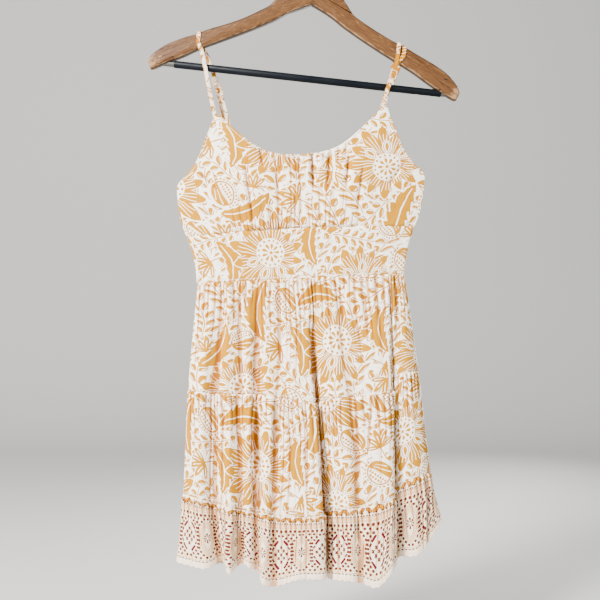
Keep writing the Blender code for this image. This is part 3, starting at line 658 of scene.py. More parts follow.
# %% Panels
CUTS = {
    "front_upper_bodice": (0.38, 0.18, 0.78),
    "back_upper_bodice": (0.375, 0.105, 0.87),
    "front_midriff": (0.335, 0.075, 0.95),
    "back_midriff": (0.335, 0.075, 0.95),
    "front_upper_tier": (0.40, 0.17, 1.0),
    "back_upper_tier": (0.36, 0.165, 1.0),
    "front_lower_tier": (0.48, 0.17, 1.0),
    "back_lower_tier": (0.41, 0.17, 1.0),
    "front_hem_band": (0.52, 0.12, 1.0),
    "back_hem_band": (0.44, 0.12, 1.0),
}
made_pieces = {}


def add_piece(name, mesh, slot, node):
    """Puts a mesh in the scene as a piece that stands for a solid."""
    made = in_scene(name, mesh)
    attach(made, "root")
    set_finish(made, slot)
    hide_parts(node)
    made_pieces[name] = made
    return made


def add_cloth(node, places, flat, stitch, slot="printed_cloth"):
    """A cloth panel with its two maps and its thickness."""
    places = meet_at_sides(places)
    mesh = sheet_mesh(node, places, {"flat": flat, "stitch": stitch})
    piece = add_piece(f"{node}_cloth", mesh, slot, node)
    thickness = piece.modifiers.new("thickness", "SOLIDIFY")
    thickness.thickness = CLOTH_THICKNESS * MM
    thickness.offset = -1.0
    thickness.material_offset = 1
    thickness.material_offset_rim = 0
    width, length, share = CUTS[node]
    corners = places * MM
    sides = np.cross(np.diff(corners, axis=0)[:, :-1], np.diff(corners, axis=1)[:-1])
    area = np.linalg.norm(sides, axis=-1).sum()
    print(f"{node}: {places.shape[0]} rows, {places.shape[1]} columns, {area:.4f} square metres")
    return piece


# %% Steps that the panels share
CALM_EDGE = 7.0


def flat_map(places, reference):
    """The cloth as cut: across from the middle column at the reference row, and down from the first row."""
    across = lengths_along(places[int(reference * (len(places) - 1))])
    across = across - across[len(across) // 2]
    down = lengths_along(places)
    return np.stack([np.broadcast_to(across, down.shape), -down], axis=-1)


def calmed(relief, flat):
    """Relief that dies away at the side seams, so that front and back meet there."""
    across = flat[..., 0]
    near = np.minimum(across - across[:, :1], across[:, -1:] - across)
    return relief * ease(near / CALM_EDGE)


def meet_at_sides(places):
    places[:, [0, -1], 1] = 0.0
    return places


def hung(side, places):
    """A panel's places, with the back's columns turned round so that its sheet faces outwards too."""
    return meet_at_sides(places[:, ::-1] if side == "back" else places)


def raised(places, relief):
    """The sheet with its relief, its side seams kept together."""
    return meet_at_sides(places + outward(places) * relief[..., None])


# %% Skirt panels
# Each row is a tier, the level it starts from, its gathers' pitch, height and reach, and the depth of its hem
TIERS = [
    ("upper_tier", 0, 8.8, 2.4, 90.0, 0.0),
    ("lower_tier", 1, 8.0, 2.6, 84.0, 0.0),
    ("hem_band", 2, 8.0, 2.2, 66.0, 9.0),
]
SEAM_DIP = 0.75
BORDER_LENGTH = 100.0
SCALLOP_PITCH = 9.0
SCALLOP_HEIGHT = 0.75


def seam_dip(flat, top, foot):
    """The cloth drawn in along the seams."""
    down = -flat[..., 1]
    up = down[-1:] - down
    return -SEAM_DIP * (top * np.exp(-((down / 1.8) ** 2)) + foot * 0.4 * np.exp(-((up / 1.2) ** 2)))


def hem_scallops(flat):
    """The uneven little waves of the hem's edge, as a height."""
    across = flat[..., 0]
    up = flat[..., 1] - flat[-1:, :, 1]
    wave = np.sin(across * (2 * math.pi / SCALLOP_PITCH) + 2.2 * np.sin(across / 31.0))
    return calmed(SCALLOP_HEIGHT * wave * np.exp(-((up / 7.0) ** 2)), flat)


def add_skirt_panel(side, folds, creases, tier_row, spacing, seed):
    tier_name, level, pitch, height, reach, hem = tier_row
    length = np.linalg.norm(folds[level + 1] - folds[level], axis=-1).mean()
    places = hung(side, tier(folds, level, down_shares(length), spacing))
    flat = flat_map(places, EVEN_AT)
    cut_length = BORDER_LENGTH if hem else -flat[-1, :, 1].mean()
    flat[..., 1] *= cut_length / -flat[-1:, :, 1]
    across = flat[..., 0] - flat[0, 0, 0]
    down = -flat[..., 1]
    wide = across[0, -1]
    relief = gather_relief(across, down, (4.0, wide - 4.0), pitch, height, reach, seed)
    relief += 0.5 * gather_relief(across, down, (2.0, wide - 2.0), pitch * 2.7, height, reach * 2.2, seed + 1)
    relief += crease_relief(places, creases)
    relief += unevenness(across, down, 0.28, seed + 2)
    places = raised(places, calmed(relief, flat) + seam_dip(flat, 1.0, 0.0 if hem else 1.0))
    stitch = np.stack([across, down[-1:] - down], axis=-1)
    if hem:
        places[..., 2] += hem_scallops(flat)
        places, flat, stitch = turned_in(places, flat, stitch, hem)
    places, flat, stitch = tucked_under(places, flat, stitch)
    slot = "border_cloth" if hem else "printed_cloth"
    return add_cloth(f"{side}_{tier_name}", places, flat, stitch, slot)


for number, tier_row in enumerate(TIERS):
    add_skirt_panel("front", front_folds(), FRONT_CREASES, tier_row, COLUMN, 20 + 10 * number)
    add_skirt_panel("back", back_folds(), BACK_CREASES, tier_row, 1.3 * COLUMN, 60 + 10 * number)

# %% Upper bodice panels
BODICE_ACROSS_AT = 0.97
BODICE_TURNED_IN = 6.0
# Each row says if the gathers rise from the foot, where they start and end, their pitch, height and reach
FRONT_BODICE_GATHERS = [
    (True, (-96.0, 80.0), 5.6, 1.7, 34.0),
    (True, (-92.0, 76.0), 13.0, 1.2, 62.0),
    (False, (-70.0, 72.0), 9.0, 1.4, 30.0),
]
BACK_BODICE_GATHERS = [
    (False, (-88.0, 88.0), 8.0, 1.0, 22.0),
    (True, (-88.0, 88.0), 9.0, 1.3, 30.0),
]


def edge_distance(places, edge):
    """How far each place of the upper bodice lies from its turned edge, measured across the edge."""
    out_step = np.gradient(edge[:, 0])
    slope = np.gradient(edge[:, 1]) / np.where(np.abs(out_step) < 0.05, 0.05, out_step)
    return lengths_along(places) / np.sqrt(1.0 + slope**2)


def add_upper_bodice(side, edge, length, depth, puff, creases, gathers, seed):
    places = hung(side, upper_bodice(edge, down_shares(length), depth, puff))
    if side == "back":
        edge = edge[::-1]
    across = flat_map(places, BODICE_ACROSS_AT)[..., 0]
    height = places[..., 2] - LEAN * (places[..., 0] - MIDDLE)
    flat = np.stack([across, height - BUST_SEAM], axis=-1)
    up = flat[..., 1] - flat[-1:, :, 1]
    near_edge = edge_distance(places, edge)
    relief = crease_relief(places, creases) + unevenness(across, up, 0.3, seed + 2)
    for number, (from_foot, spread, pitch, tall, reach) in enumerate(gathers):
        distance = up if from_foot else near_edge
        relief += gather_relief(across, distance, spread, pitch, tall, reach, seed + number)
    relief = calmed(relief, flat) * ease(near_edge / 3.0 + 0.3)
    relief -= SEAM_DIP * np.exp(-((up / 1.6) ** 2))
    places = raised(places, relief)
    stitch = np.stack([np.broadcast_to(lengths_along(places[0]), near_edge.shape), near_edge], axis=-1)
    # the rows are turned over, and the places mirrored to face outwards still, to turn the top edge in
    places, flat, stitch = turned_in(-places[::-1], flat[::-1], stitch[::-1], BODICE_TURNED_IN)
    return add_cloth(f"{side}_upper_bodice", -places[::-1], flat[::-1], stitch[::-1])


front_shape = (front_top_edge(), FRONT_TOP_LENGTH, front_depth, BUST_PUFF)
back_shape = (back_top_edge(), BACK_TOP_LENGTH, back_depth, 0.0)
add_upper_bodice("front", *front_shape, FRONT_CREASES, FRONT_BODICE_GATHERS, 90)
add_upper_bodice("back", *back_shape, BACK_CREASES, BACK_BODICE_GATHERS, 100)

# %% Midriff panels
MIDRIFF_ACROSS_AT = 0.1
MIDRIFF_LENGTH = 70.0


def add_midriff(side, depth, spacing, creases, seed):
    places = hung(side, midriff(down_shares(MIDRIFF_LENGTH), depth, spacing))
    flat = flat_map(places, MIDRIFF_ACROSS_AT)
    across = flat[..., 0] - flat[0, 0, 0]
    relief = crease_relief(places, creases) + unevenness(across, flat[..., 1], 0.22, seed)
    places = raised(places, calmed(relief, flat) + seam_dip(flat, 1.0, 1.0))
    stitch = np.stack([across, flat[..., 1] - flat[-1:, :, 1]], axis=-1)
    places, flat, stitch = tucked_under(places, flat, stitch)
    return add_cloth(f"{side}_midriff", places, flat, stitch)


add_midriff("front", front_depth, COLUMN, FRONT_CREASES, 110)
add_midriff("back", back_depth, 2 * COLUMN, BACK_CREASES, 120)

# %% [markdown]
# ## The hanger
#
# The hanger is measured from the inside of its bend and then leaned. A maker saws two arms from a board,
# glues them in a lap joint and rounds the edges. An extruded outline with a bevel could give that shape. Here
# each arm's outline is bridged through the board's thickness, with rings that are drawn in towards both
# faces, because the rings also keep how worn each line of the rounded edge is.

# %% Sizes of the hanger
HANGER_PLACE = (-11.0, -119.4)
HANGER_LEAN = math.radians(6.3)
BOARD = 14.0
JOINT_HEIGHT = 19.0
JOINT_OUT = 60.0
JOINT_END = -7.5
JOINT_GAP = 0.3
# Each row is a distance out, the left arm's height there and the right arm's
ARM_TOP = [
    (72, -15.5, -15),
    (95, -29.5, -27),
    (120, -41.5, -38.5),
    (144, -51.5, -48),
    (160, -60, -55.5),
    (177, -67, -63),
    (200, -79, -75),
    (217, -93, -89.5),
    (224, -104, -101),
]
ARM_FOOT = [
    (222, -112, -109.5),
    (218, -116, -113.5),
    (197, -105, -104.5),
    (174, -93, -92),
    (154, -81, -80.5),
    (119, -63.5, -63.5),
    (84, -46, -46),
    (51, -28, -28),
    (27, -13, -13),
]
# Each row is a distance out and a height
NECK_SIDE = [(53, 2), (45, 12), (36, 25), (28, 38), (18, 46)]
NECK_TOP = 48.0
EDGE_ROUNDING = 3.2
EDGE_STEPS = 5
OUTLINE_SPACING = 3.0


def on_hanger(places):
    """Places measured from the hanger's bend, as they lie on the dress's own axes."""
    places = np.asarray(places, dtype=float)
    out, depth, height = places[..., 0], places[..., 1], places[..., 2]
    x = HANGER_PLACE[0] + out * math.cos(HANGER_LEAN) + height * math.sin(HANGER_LEAN)
    z = HANGER_PLACE[1] - out * math.sin(HANGER_LEAN) + height * math.cos(HANGER_LEAN)
    return np.stack([x, depth, z], axis=-1)


def fine_outline(rows, spacing=OUTLINE_SPACING):
    fine = finely(rows, 40 * len(rows))
    return smooth(fine, evenly(fine, spacing))


# %% The rounded edge of a board


def put_on_hanger(shape):
    """Moves a shape's corners, made in millimetres from the bend, to their place in metres."""
    for vert in shape.verts:
        vert.co = Vector(on_hanger(vert.co)) * MM


def edge_profile():
    """The board's rounded edge, from face to face: rows of a depth, an inset and how worn the wood is."""
    half = []
    for step in range(EDGE_STEPS + 1):
        angle = math.pi / 2 * (1.0 - step / EDGE_STEPS)
        depth = -BOARD / 2 + EDGE_ROUNDING * (1 - math.sin(angle))
        worn = max(0.0, 1.0 - abs(angle / (math.pi / 2) - 0.5) * 1.6)
        half.append((depth, EDGE_ROUNDING * (1 - math.cos(angle)), worn))
    return half + [(-depth, inset, worn) for depth, inset, worn in reversed(half)]


def inward_from(outline):
    """The inward direction at each point of a closed outline."""
    before = unit(outline - np.roll(outline, 1, axis=0))
    after = unit(np.roll(outline, -1, axis=0) - outline)
    along = unit(before + after)
    x, z = outline.T
    area = np.sum(x * np.roll(z, -1) - z * np.roll(x, -1))
    return np.stack([-along[:, 1], along[:, 0]], axis=1) * math.copysign(1.0, area)


# %% Arms


def board(name, outline, square_corners):
    """An arm from its outline. The corners named stay square, for a glued joint."""
    inward = inward_from(outline)
    inward[square_corners] = 0.0
    shape = bmesh.new()
    edge_layer = shape.verts.layers.float.new("edge")
    rings = []
    loops = []
    for depth, inset, worn in edge_profile():
        ring = [shape.verts.new((x, depth, z)) for x, z in outline + inward * inset]
        for vert in ring:
            vert[edge_layer] = worn
        rings.append(ring)
        loops.append([shape.edges.new(pair) for pair in zip([ring[-1], *ring], ring)])
    for loop, next_loop in zip(loops, loops[1:]):
        bmesh.ops.bridge_loops(shape, edges=loop + next_loop)
    for ring in (rings[0], rings[-1]):
        shape.faces.new(ring)
    bmesh.ops.recalc_face_normals(shape, faces=shape.faces)
    put_on_hanger(shape)
    return finished(shape, name, 38)


def build_arms():
    foot = [(out, height) for out, _, height in reversed(ARM_FOOT)]
    top = [(out, height) for out, _, height in reversed(ARM_TOP)]
    right = fine_outline([(0.0, 0.0), *foot, *top, (JOINT_OUT, JOINT_END)])
    right = np.concatenate([right, [(0.0, JOINT_HEIGHT)]])
    square = [0, len(right) - 2, len(right) - 1]
    yield "hanger_right_arm", board("hanger_right_arm", right, square)
    neck = [(JOINT_OUT, JOINT_END + JOINT_GAP), *NECK_SIDE, (0.0, NECK_TOP)]
    neck += [(-out, height) for out, height in reversed(NECK_SIDE)]
    left = neck + [(-JOINT_OUT, JOINT_END)] + [(-out, height) for out, height, _ in ARM_TOP + ARM_FOOT]
    left = fine_outline([*left, (-JOINT_GAP, 0.0)])
    left = np.concatenate([left, [(-JOINT_GAP, JOINT_HEIGHT + JOINT_GAP)]])
    square = [0, len(left) - 2, len(left) - 1]
    yield "hanger_left_arm", board("hanger_left_arm", left, square)


for node, mesh in build_arms():
    piece = add_piece(f"{node}_wood", mesh, "hanger_wood", node)
    print(piece.name, len(mesh.polygons), "faces")

# %% [markdown]
# The hook is one wire, bent round a form: it leaves the neck, steps aside and goes over the top. A curve with
# a round bevel is that wire. The bar is a rod in a plastic sleeve, and both are turned round the bar's own
# line.

# %% Hook
WIRE = 3.5
HOOK_INSIDE = 20.0
HOOK_HEIGHT = 100.0
HOOK_DEEP = 15.0
HOOK_FROM = 212.0
HOOK_TO = -22.0
HOOK_STEPS = 14
HOOK_SHANK = [(0.0, 58.0), (-0.8, 63.0), (-4.0, 68.5), (-9.5, 73.5), (-14.5, 79.5)]
HOOK_TIP = (23.5, 86.5)


def add_line(curve, points, closed=False):
    """A spline of straight steps through points in metres."""
    spline = curve.splines.new("POLY")
    spline.points.add(len(points) - 1)
    for point, place in zip(spline.points, points):
        point.co = (*place, 1.0)
    spline.use_cyclic_u = closed


def mesh_of(curve, sharp, place=(0.0, 0.0, 0.0), turn=(0.0, 0.0, 0.0)):
    """A curve's mesh, turned and moved to its place."""
    maker = bpy.data.objects.new(curve.name, curve)
    mesh = bpy.data.meshes.new_from_object(maker)
    maker.location = place
    maker.rotation_euler = turn
    mesh.transform(maker.matrix_basis)
    bpy.data.objects.remove(maker)
    return smoothed(mesh, sharp)


def build_hook():
    radius = HOOK_INSIDE + WIRE / 2
    path = [(0.0, NECK_TOP - HOOK_DEEP), *HOOK_SHANK]
    for step in range(HOOK_STEPS + 1):
        angle = math.radians(HOOK_FROM + (HOOK_TO - HOOK_FROM) * step / HOOK_STEPS)
        path.append((radius * math.cos(angle), HOOK_HEIGHT + radius * math.sin(angle)))
    path.append(HOOK_TIP)
    curve = bpy.data.curves.new("hanger_hook_wire", "CURVE")
    curve.dimensions = "3D"
    curve.bevel_depth = WIRE / 2 * MM
    curve.bevel_resolution = 4
    curve.use_fill_caps = True
    add_line(curve, [on_hanger((out, 0.0, height)) * MM for out, height in fine_outline(path, 1.8)])
    return mesh_of(curve, 50)


add_piece("hanger_hook_wire", build_hook(), "hook_wire", "hanger_hook")

# %% Bar and sleeve
BAR_HEIGHT = -105.5
BAR_RADIUS = 4.1
BAR_END = 211.0
SLEEVE_RADIUS = 5.2
SLEEVE_BORE = 4.4
SLEEVE_LIP = 0.4
SLEEVE_LEFT = -187.0
SLEEVE_RIGHT = 198.0


def turned_bar(name, profile):
    """A piece turned round the bar's line, from its profile as distances out and radii."""
    shape = bmesh.new()
    points = [shape.verts.new((out, 0.0, radius)) for out, radius in profile]
    edges = [shape.edges.new(pair) for pair in zip(points, points[1:])]
    whole_turn = {"cent": (0, 0, 0), "axis": (1, 0, 0), "angle": 2 * math.pi, "steps": 40, "use_merge": True}
    bmesh.ops.spin(shape, geom=points + edges, **whole_turn)
    bmesh.ops.remove_doubles(shape, verts=shape.verts, dist=0.01)
    bmesh.ops.recalc_face_normals(shape, faces=shape.faces)
    bmesh.ops.translate(shape, vec=(0.0, 0.0, BAR_HEIGHT), verts=shape.verts)
    put_on_hanger(shape)
    return finished(shape, name, 50)


rod = [(-BAR_END, 0.0), (-BAR_END, BAR_RADIUS), (BAR_END, BAR_RADIUS), (BAR_END, 0.0)]
tube = [
    (SLEEVE_LEFT, SLEEVE_BORE),
    (SLEEVE_LEFT, SLEEVE_RADIUS - SLEEVE_LIP),
    (SLEEVE_LEFT + SLEEVE_LIP, SLEEVE_RADIUS),
    (SLEEVE_RIGHT - SLEEVE_LIP, SLEEVE_RADIUS),
    (SLEEVE_RIGHT, SLEEVE_RADIUS - SLEEVE_LIP),
    (SLEEVE_RIGHT, SLEEVE_BORE),
    (SLEEVE_LEFT, SLEEVE_BORE),
]
add_piece("trouser_bar_rod", turned_bar("trouser_bar", rod), "bar_steel", "trouser_bar")
add_piece("trouser_bar_tube", turned_bar("sleeve", tube), "bar_sleeve", "trouser_bar_sleeve")
print("bar:", 2 * BAR_END, "mm long, sleeve:", SLEEVE_RIGHT - SLEEVE_LEFT, "mm")

# %% [markdown]
# ## Straps and sliders
#
# A strap is a narrow strip of cloth, folded in and sewn into a flat tube. A curve with a flat section could
# be laid over the hanger, but then the curve decides how the strap leans. Here a grid is rolled into the
# tube, and its rings follow the strap's places with the lean that each place names.

# %% Places of the left strap
STRAP_WIDTH = 6.0
STRAP_THICKNESS = 1.0
LAYER_GAP = 0.3
SLIDER_THICKNESS = 1.1
SLIDER_STAND_OFF = 1.35

# Each row is a place: across, its layer, its height, and how far its width leans up to the right in degrees
LEFT_STRAP_FRONT = [
    (-147.6, "front seat", -289.0, 9.0),
    (-150.4, "front seat", -276.0, 9.0),
    (-155.0, "first in front", -254.7, 9.0),
    (-159.4, "first in front", -232.8, 9.0),
    (-164.3, "first in front", -205.4, 9.0),
    (-168.6, "first in front", -186.0, 12.0),
]
LEFT_STRAP_ABOVE_SLIDER = [(-163.0, "first behind", -187.0, 13.0), (-157.0, "first behind", -203.5, 14.0)]
LEFT_STRAP_BELOW_SLIDER = [
    (-143.0, "first behind", -255.0, 14.0),
    (-133.0, "back seat", -296.0, 14.0),
    (-119.5, "back seat", -352.0, 14.0),
    (-118.0, "back seat", -360.0, 14.0),
]
LEFT_LOOP = [
    (-145.8, "under first behind", -231.0, 14.0),
    (-139.7, "under first behind", -255.0, 14.0),
    (-129.8, "under back seat", -296.0, 14.0),
    (-116.0, "under back seat", -352.0, 14.0),
    (-114.4, "under back seat", -359.0, 14.0),
]

# %% Places of the right strap
RIGHT_STRAP_BELOW_SLIDER = [
    (86.5, "front seat", -281.0, -17.0),
    (90.0, "front seat", -268.0, -17.0),
    (95.0, "first in front", -248.0, -17.0),
    (98.6, "second in front", -236.0, -17.0),
]
RIGHT_STRAP_ABOVE_SLIDER = [(109.6, "second in front", -204.5, -14.0)]
RIGHT_STRAP_BACK = [
    (107.0, "second behind", -210.0, -20.0),
    (96.0, "second behind", -245.0, -16.0),
    (80.5, "back seat", -300.0, -15.0),
    (67.8, "back seat", -352.0, -14.0),
    (66.0, "back seat", -360.0, -14.0),
]
RIGHT_LOOP_FRONT = [
    (103.2, "first in front", -211.5, -20.0),
    (108.0, "first in front", -206.0, -30.0),
    (113.5, "first in front", -200.5, -32.0),
]
RIGHT_LOOP_BACK = [
    (113.0, "first behind", -210.0, -24.0),
    (97.0, "first behind", -247.0, -18.0),
    (82.0, "under back seat", -300.0, -15.0),
    (69.6, "under back seat", -352.0, -14.0),
    (68.0, "under back seat", -359.0, -14.0),
]

# %% Where the straps cross the arms and their sliders
LEFT_STRAP_OUT = -156.0
RIGHT_STRAP_OUT = 130.0
RIGHT_LOOP_OUT = 138.5
# Across, height, and lean from upright
LEFT_SLIDER = (-150.0, -226.5, -14.0)
RIGHT_SLIDER = (105.2, -221.0, 17.0)
# A strap's places through a slider: along it, and behind its bars at 1, in front of them at -1
SLIDER_WEAVE = [(-8.2, 1), (-5.1, 1), (-2.9, 0), (-0.8, -1), (0.8, -1), (2.9, 0), (5.1, 1), (8.2, 1)]

# %% Layers that a strap lies in
LAYER_STEP = STRAP_THICKNESS + LAYER_GAP
SEAT_STAND_OFF = SIDE_DEPTH - 0.15 + LAYER_GAP + STRAP_THICKNESS / 2
FRONT_SEAT = front_depth(FRONT_STRAP_TOP[0] / ARMHOLE[0][0]) + SEAT_STAND_OFF
BACK_SEAT = back_depth(BACK_STRAP_TOP[0] / ARMHOLE[0][0]) - SEAT_STAND_OFF
BEHIND_BOARD = BOARD / 2 + 0.4 + STRAP_THICKNESS / 2
LAYERS = {
    "front seat": FRONT_SEAT,
    "first in front": -BEHIND_BOARD,
    "second in front": -BEHIND_BOARD - LAYER_STEP,
    "first behind": BEHIND_BOARD,
    "second behind": BEHIND_BOARD + LAYER_STEP,
    "under first behind": BEHIND_BOARD - LAYER_STEP,
    "back seat": BACK_SEAT,
    "under back seat": BACK_SEAT - LAYER_STEP,
}
print("depths of the layers:", {layer: round(float(depth), 2) for layer, depth in LAYERS.items()})

# %% Ways over an arm and through a slider


def arm_top(out):
    """The height of an arm's top edge, out along it from the middle."""
    arm = 1 if out < 0 else 2
    outs = [JOINT_OUT] + [row[0] for row in ARM_TOP]
    heights = [JOINT_END] + [row[arm] for row in ARM_TOP]
    return float(np.interp(abs(out), outs, heights))


def over_arm(out, front, back):
    """The places of a strap as it goes over an arm, from a layer in front to one behind."""
    lift = STRAP_THICKNESS / 2 + 0.75
    half = BOARD / 2
    drops = [
        (LAYERS[front], 14.0),
        (LAYERS[front], 4.5),
        (-half + 0.5 - lift * 0.4, -lift),
        (-half + 3.6, -lift - 0.4),
        (half - 3.6, -lift - 0.4),
        (half - 0.5 + lift * 0.4, -lift),
        (LAYERS[back], 4.5),
        (LAYERS[back], 14.0),
    ]
    slope = (arm_top(out + 4) - arm_top(out - 4)) / 8
    turn = math.degrees(math.atan(slope) - HANGER_LEAN)
    return [(*on_hanger((out, depth, arm_top(out) - drop)), turn) for depth, drop in drops]


def through_slider(x, depth, z, lean, out):
    """The places of a strap as it goes through a slider, over its middle bar and back."""
    step = SLIDER_THICKNESS / 2 + STRAP_THICKNESS / 2 + LAYER_GAP
    turn = math.radians(lean)
    return [
        (x + along * math.sin(turn), depth - out * side * step, z + along * math.cos(turn), -lean)
        for along, side in SLIDER_WEAVE
    ]


def placed(rows):
    return [(x, LAYERS[layer], z, lean) for x, layer, z, lean in rows]


# %% Sweep a strap
STRAP_STEP = 0.8
STRAP_SIDES = 16


def softened(places):
    """Places at even steps with their corners eased."""
    places = np.array(places, dtype=float)
    along = lengths_along(places[:, :3])
    steps = np.linspace(0.0, along[-1], round(along[-1] / STRAP_STEP))
    fine = np.stack([np.interp(steps, along, places[:, item]) for item in range(4)], axis=1)
    for _ in range(3):
        fine[1:-1] = (fine[:-2] + 2 * fine[1:-1] + fine[2:]) / 4
    return fine


def squared(wave, power):
    """A wave whose size is raised to a power, which makes a round section squarer or flatter."""
    return np.sign(wave) * np.abs(wave) ** power


def strap(node, places):
    fine = softened(places)
    centre = fine[:, :3]
    along = unit(np.gradient(centre, axis=0))
    lean = np.radians(fine[:, 3])
    wide = np.stack([np.cos(lean), np.zeros(len(lean)), np.sin(lean)], axis=1)
    wide = unit(wide - along * np.sum(wide * along, axis=1, keepdims=True))
    thick = np.cross(along, wide)
    angle = np.linspace(0, 2 * math.pi, STRAP_SIDES + 1)
    across = squared(np.cos(angle), 0.45) * STRAP_WIDTH / 2
    through = squared(np.sin(angle), 0.8) * STRAP_THICKNESS / 2
    tube = centre[:, None] + wide[:, None] * across[:, None] + thick[:, None] * through[:, None]
    run = np.broadcast_to(lengths_along(centre)[:, None], tube.shape[:2])
    round_it = np.broadcast_to(lengths_along(np.stack([across, through], axis=1)), tube.shape[:2])
    mesh = sheet_mesh(f"{node}_cloth", tube, {"flat": np.stack([round_it, run], axis=-1)})
    shape = bmesh.new()
    shape.from_mesh(mesh)
    bmesh.ops.remove_doubles(shape, verts=shape.verts, dist=0.00001)
    bmesh.ops.holes_fill(shape, edges=shape.edges, sides=STRAP_SIDES + 2)
    bmesh.ops.recalc_face_normals(shape, faces=shape.faces)
    shape.to_mesh(mesh)
    shape.free()
    print(f"{node}: {lengths_along(centre)[-1]:.0f} mm long")
    return add_piece(f"{node}_cloth", smoothed(mesh), "strap_cloth", node)


# %% The four strap pieces
left_slider = (LEFT_SLIDER[0], LAYERS["first behind"] + SLIDER_STAND_OFF, *LEFT_SLIDER[1:])
right_slider = (RIGHT_SLIDER[0], LAYERS["second in front"] - SLIDER_STAND_OFF, *RIGHT_SLIDER[1:])
left_way = placed(LEFT_STRAP_FRONT) + over_arm(LEFT_STRAP_OUT, "first in front", "first behind")
left_way += placed(LEFT_STRAP_ABOVE_SLIDER) + through_slider(*left_slider, 1.0)[::-1]
left_way += placed(LEFT_STRAP_BELOW_SLIDER)
right_way = placed(RIGHT_STRAP_BELOW_SLIDER) + through_slider(*right_slider, -1.0)
right_way += placed(RIGHT_STRAP_ABOVE_SLIDER) + over_arm(RIGHT_STRAP_OUT, "second in front", "second behind")
right_way += placed(RIGHT_STRAP_BACK)
right_loop_way = placed(RIGHT_LOOP_FRONT) + over_arm(RIGHT_LOOP_OUT, "first in front", "first behind")
right_loop_way += placed(RIGHT_LOOP_BACK)
strap("left_strap", left_way)
strap("left_strap_loop", placed(LEFT_LOOP))
strap("right_strap", right_way)
strap("right_strap_loop", right_loop_way)

# %% [markdown]
# A slider is moulded: a small plate with two windows and a bar between them. The windows could be cut out of
# a block, but a flat curve has them from the start, and its filled shape gets a rounded edge at every
# outline. It is turned into a mesh and only then put in its place.

# %% Sliders
SLIDER_WINDOW = (3.4, 4.4)
SLIDER_RIM = 1.4
SLIDER_MIDDLE = 0.7
SLIDER_EDGE = 0.3
SLIDER_CORNER = 2.0
WINDOW_CORNER = 0.9


def rounded_rectangle(half_wide, low, high, corner):
    """The corner points of a rectangle with rounded corners."""
    points = []
    centres = [
        (half_wide - corner, high - corner, 0),
        (-half_wide + corner, high - corner, 90),
        (-half_wide + corner, low + corner, 180),
        (half_wide - corner, low + corner, 270),
    ]
    for x, y, start in centres:
        for step in range(7):
            angle = math.radians(start + 15 * step)
            points.append((x + corner * math.cos(angle), y + corner * math.sin(angle)))
    return points


def slider(name, node, x, depth, z, lean):
    window_wide, window_high = SLIDER_WINDOW
    edge = SLIDER_EDGE
    high = SLIDER_MIDDLE + window_high + SLIDER_RIM - edge
    low, top = SLIDER_MIDDLE - edge, SLIDER_MIDDLE + window_high + edge
    curve = bpy.data.curves.new(name, "CURVE")
    curve.dimensions = "2D"
    curve.fill_mode = "BOTH"
    curve.extrude = (SLIDER_THICKNESS / 2 - edge) * MM
    curve.bevel_depth = edge * MM
    curve.bevel_resolution = 3
    for outline in (
        rounded_rectangle(window_wide + SLIDER_RIM - edge, -high, high, SLIDER_CORNER - edge),
        rounded_rectangle(window_wide + edge, low, top, WINDOW_CORNER),
        rounded_rectangle(window_wide + edge, -top, -low, WINDOW_CORNER),
    ):
        add_line(curve, [(across * MM, up * MM, 0.0) for across, up in outline], closed=True)
    place = (x * MM, depth * MM, z * MM)
    mesh = mesh_of(curve, 40, place, (math.pi / 2, math.radians(lean), 0.0))
    print(name, len(mesh.polygons), "faces")
    return add_piece(name, mesh, "slider_plastic", node)


slider("left_slider_plate", "left_slider", *left_slider)
slider("right_slider_plate", "right_slider", *right_slider)

# %% [markdown]
# ## Drawing with nodes
#
# A print is drawn from its own shapes: each is a sum of a point's place on the flat cloth, made of Math
# nodes. A painted picture could be laid on instead, but a formula stays sharp from near by and is easy to
# change. The small class below lets a sum be written as one, so that a petal reads like its formula. A group
# keeps each drawing in one node, and gives only masks.

# %% Nodes and what feeds them


def feed(socket, value):
    """Gives a node's input a plain value, a colour, another node's output or a sum."""
    if isinstance(value, Sum):
        value = value.source
    if isinstance(value, bpy.types.NodeSocket):
        socket.id_data.links.new(value, socket)
    elif socket.type == "RGBA":
        socket.default_value = (*value, 1.0)
    else:
        socket.default_value = value


def new_node(tree, kind, inputs, **settings):
    """A node with its settings, and what feeds each of its inputs, by name or number."""
    node = tree.nodes.new(f"ShaderNode{kind}")
    for name, value in settings.items():
        setattr(node, name, value)
    for name, value in inputs.items():
        feed(node.inputs[name], value)
    return node


# %% Sums made of nodes


class Sum:
    """A node's output as a value to count with. Each step of arithmetic on it adds one Math node."""

    def __init__(self, source):
        self.source = source

    def then(self, operation, *others):
        inputs = dict(enumerate((self, *others)))
        return Sum(new_node(self.source.id_data, "Math", inputs, operation=operation).outputs[0])

    def __add__(self, other):
        return self.then("ADD", other)

    def __sub__(self, other):
        return self.then("SUBTRACT", other)

    def __rsub__(self, other):
        return (self * -1.0) + other

    def __mul__(self, other):
        return self.then("MULTIPLY", other)

    def __truediv__(self, other):
        return self.then("DIVIDE", other)

    def __pow__(self, other):
        return self.then("POWER", other)

    def __abs__(self):
        return self.then("ABSOLUTE")

    __radd__ = __add__
    __rmul__ = __mul__

    def below(self, other):
        return self.then("LESS_THAN", other)

    def above(self, other):
        return self.then("GREATER_THAN", other)

    def between(self, low, high):
        return self.above(low) * self.below(high)

    def least(self, other):
        return self.then("MINIMUM", other)

    def most(self, other):
        return self.then("MAXIMUM", other)

    def clamped(self, high=1.0):
        """Kept between 0 and high."""
        return self.most(0.0).least(high)

    def wave(self):
        return self.then("SINE")

    def wrapped(self, span):
        """Brought into the repeat from -span / 2 to span / 2."""
        return self.then("WRAP", span / 2, -span / 2)

    def without(self, mask):
        return self * (1.0 - mask)


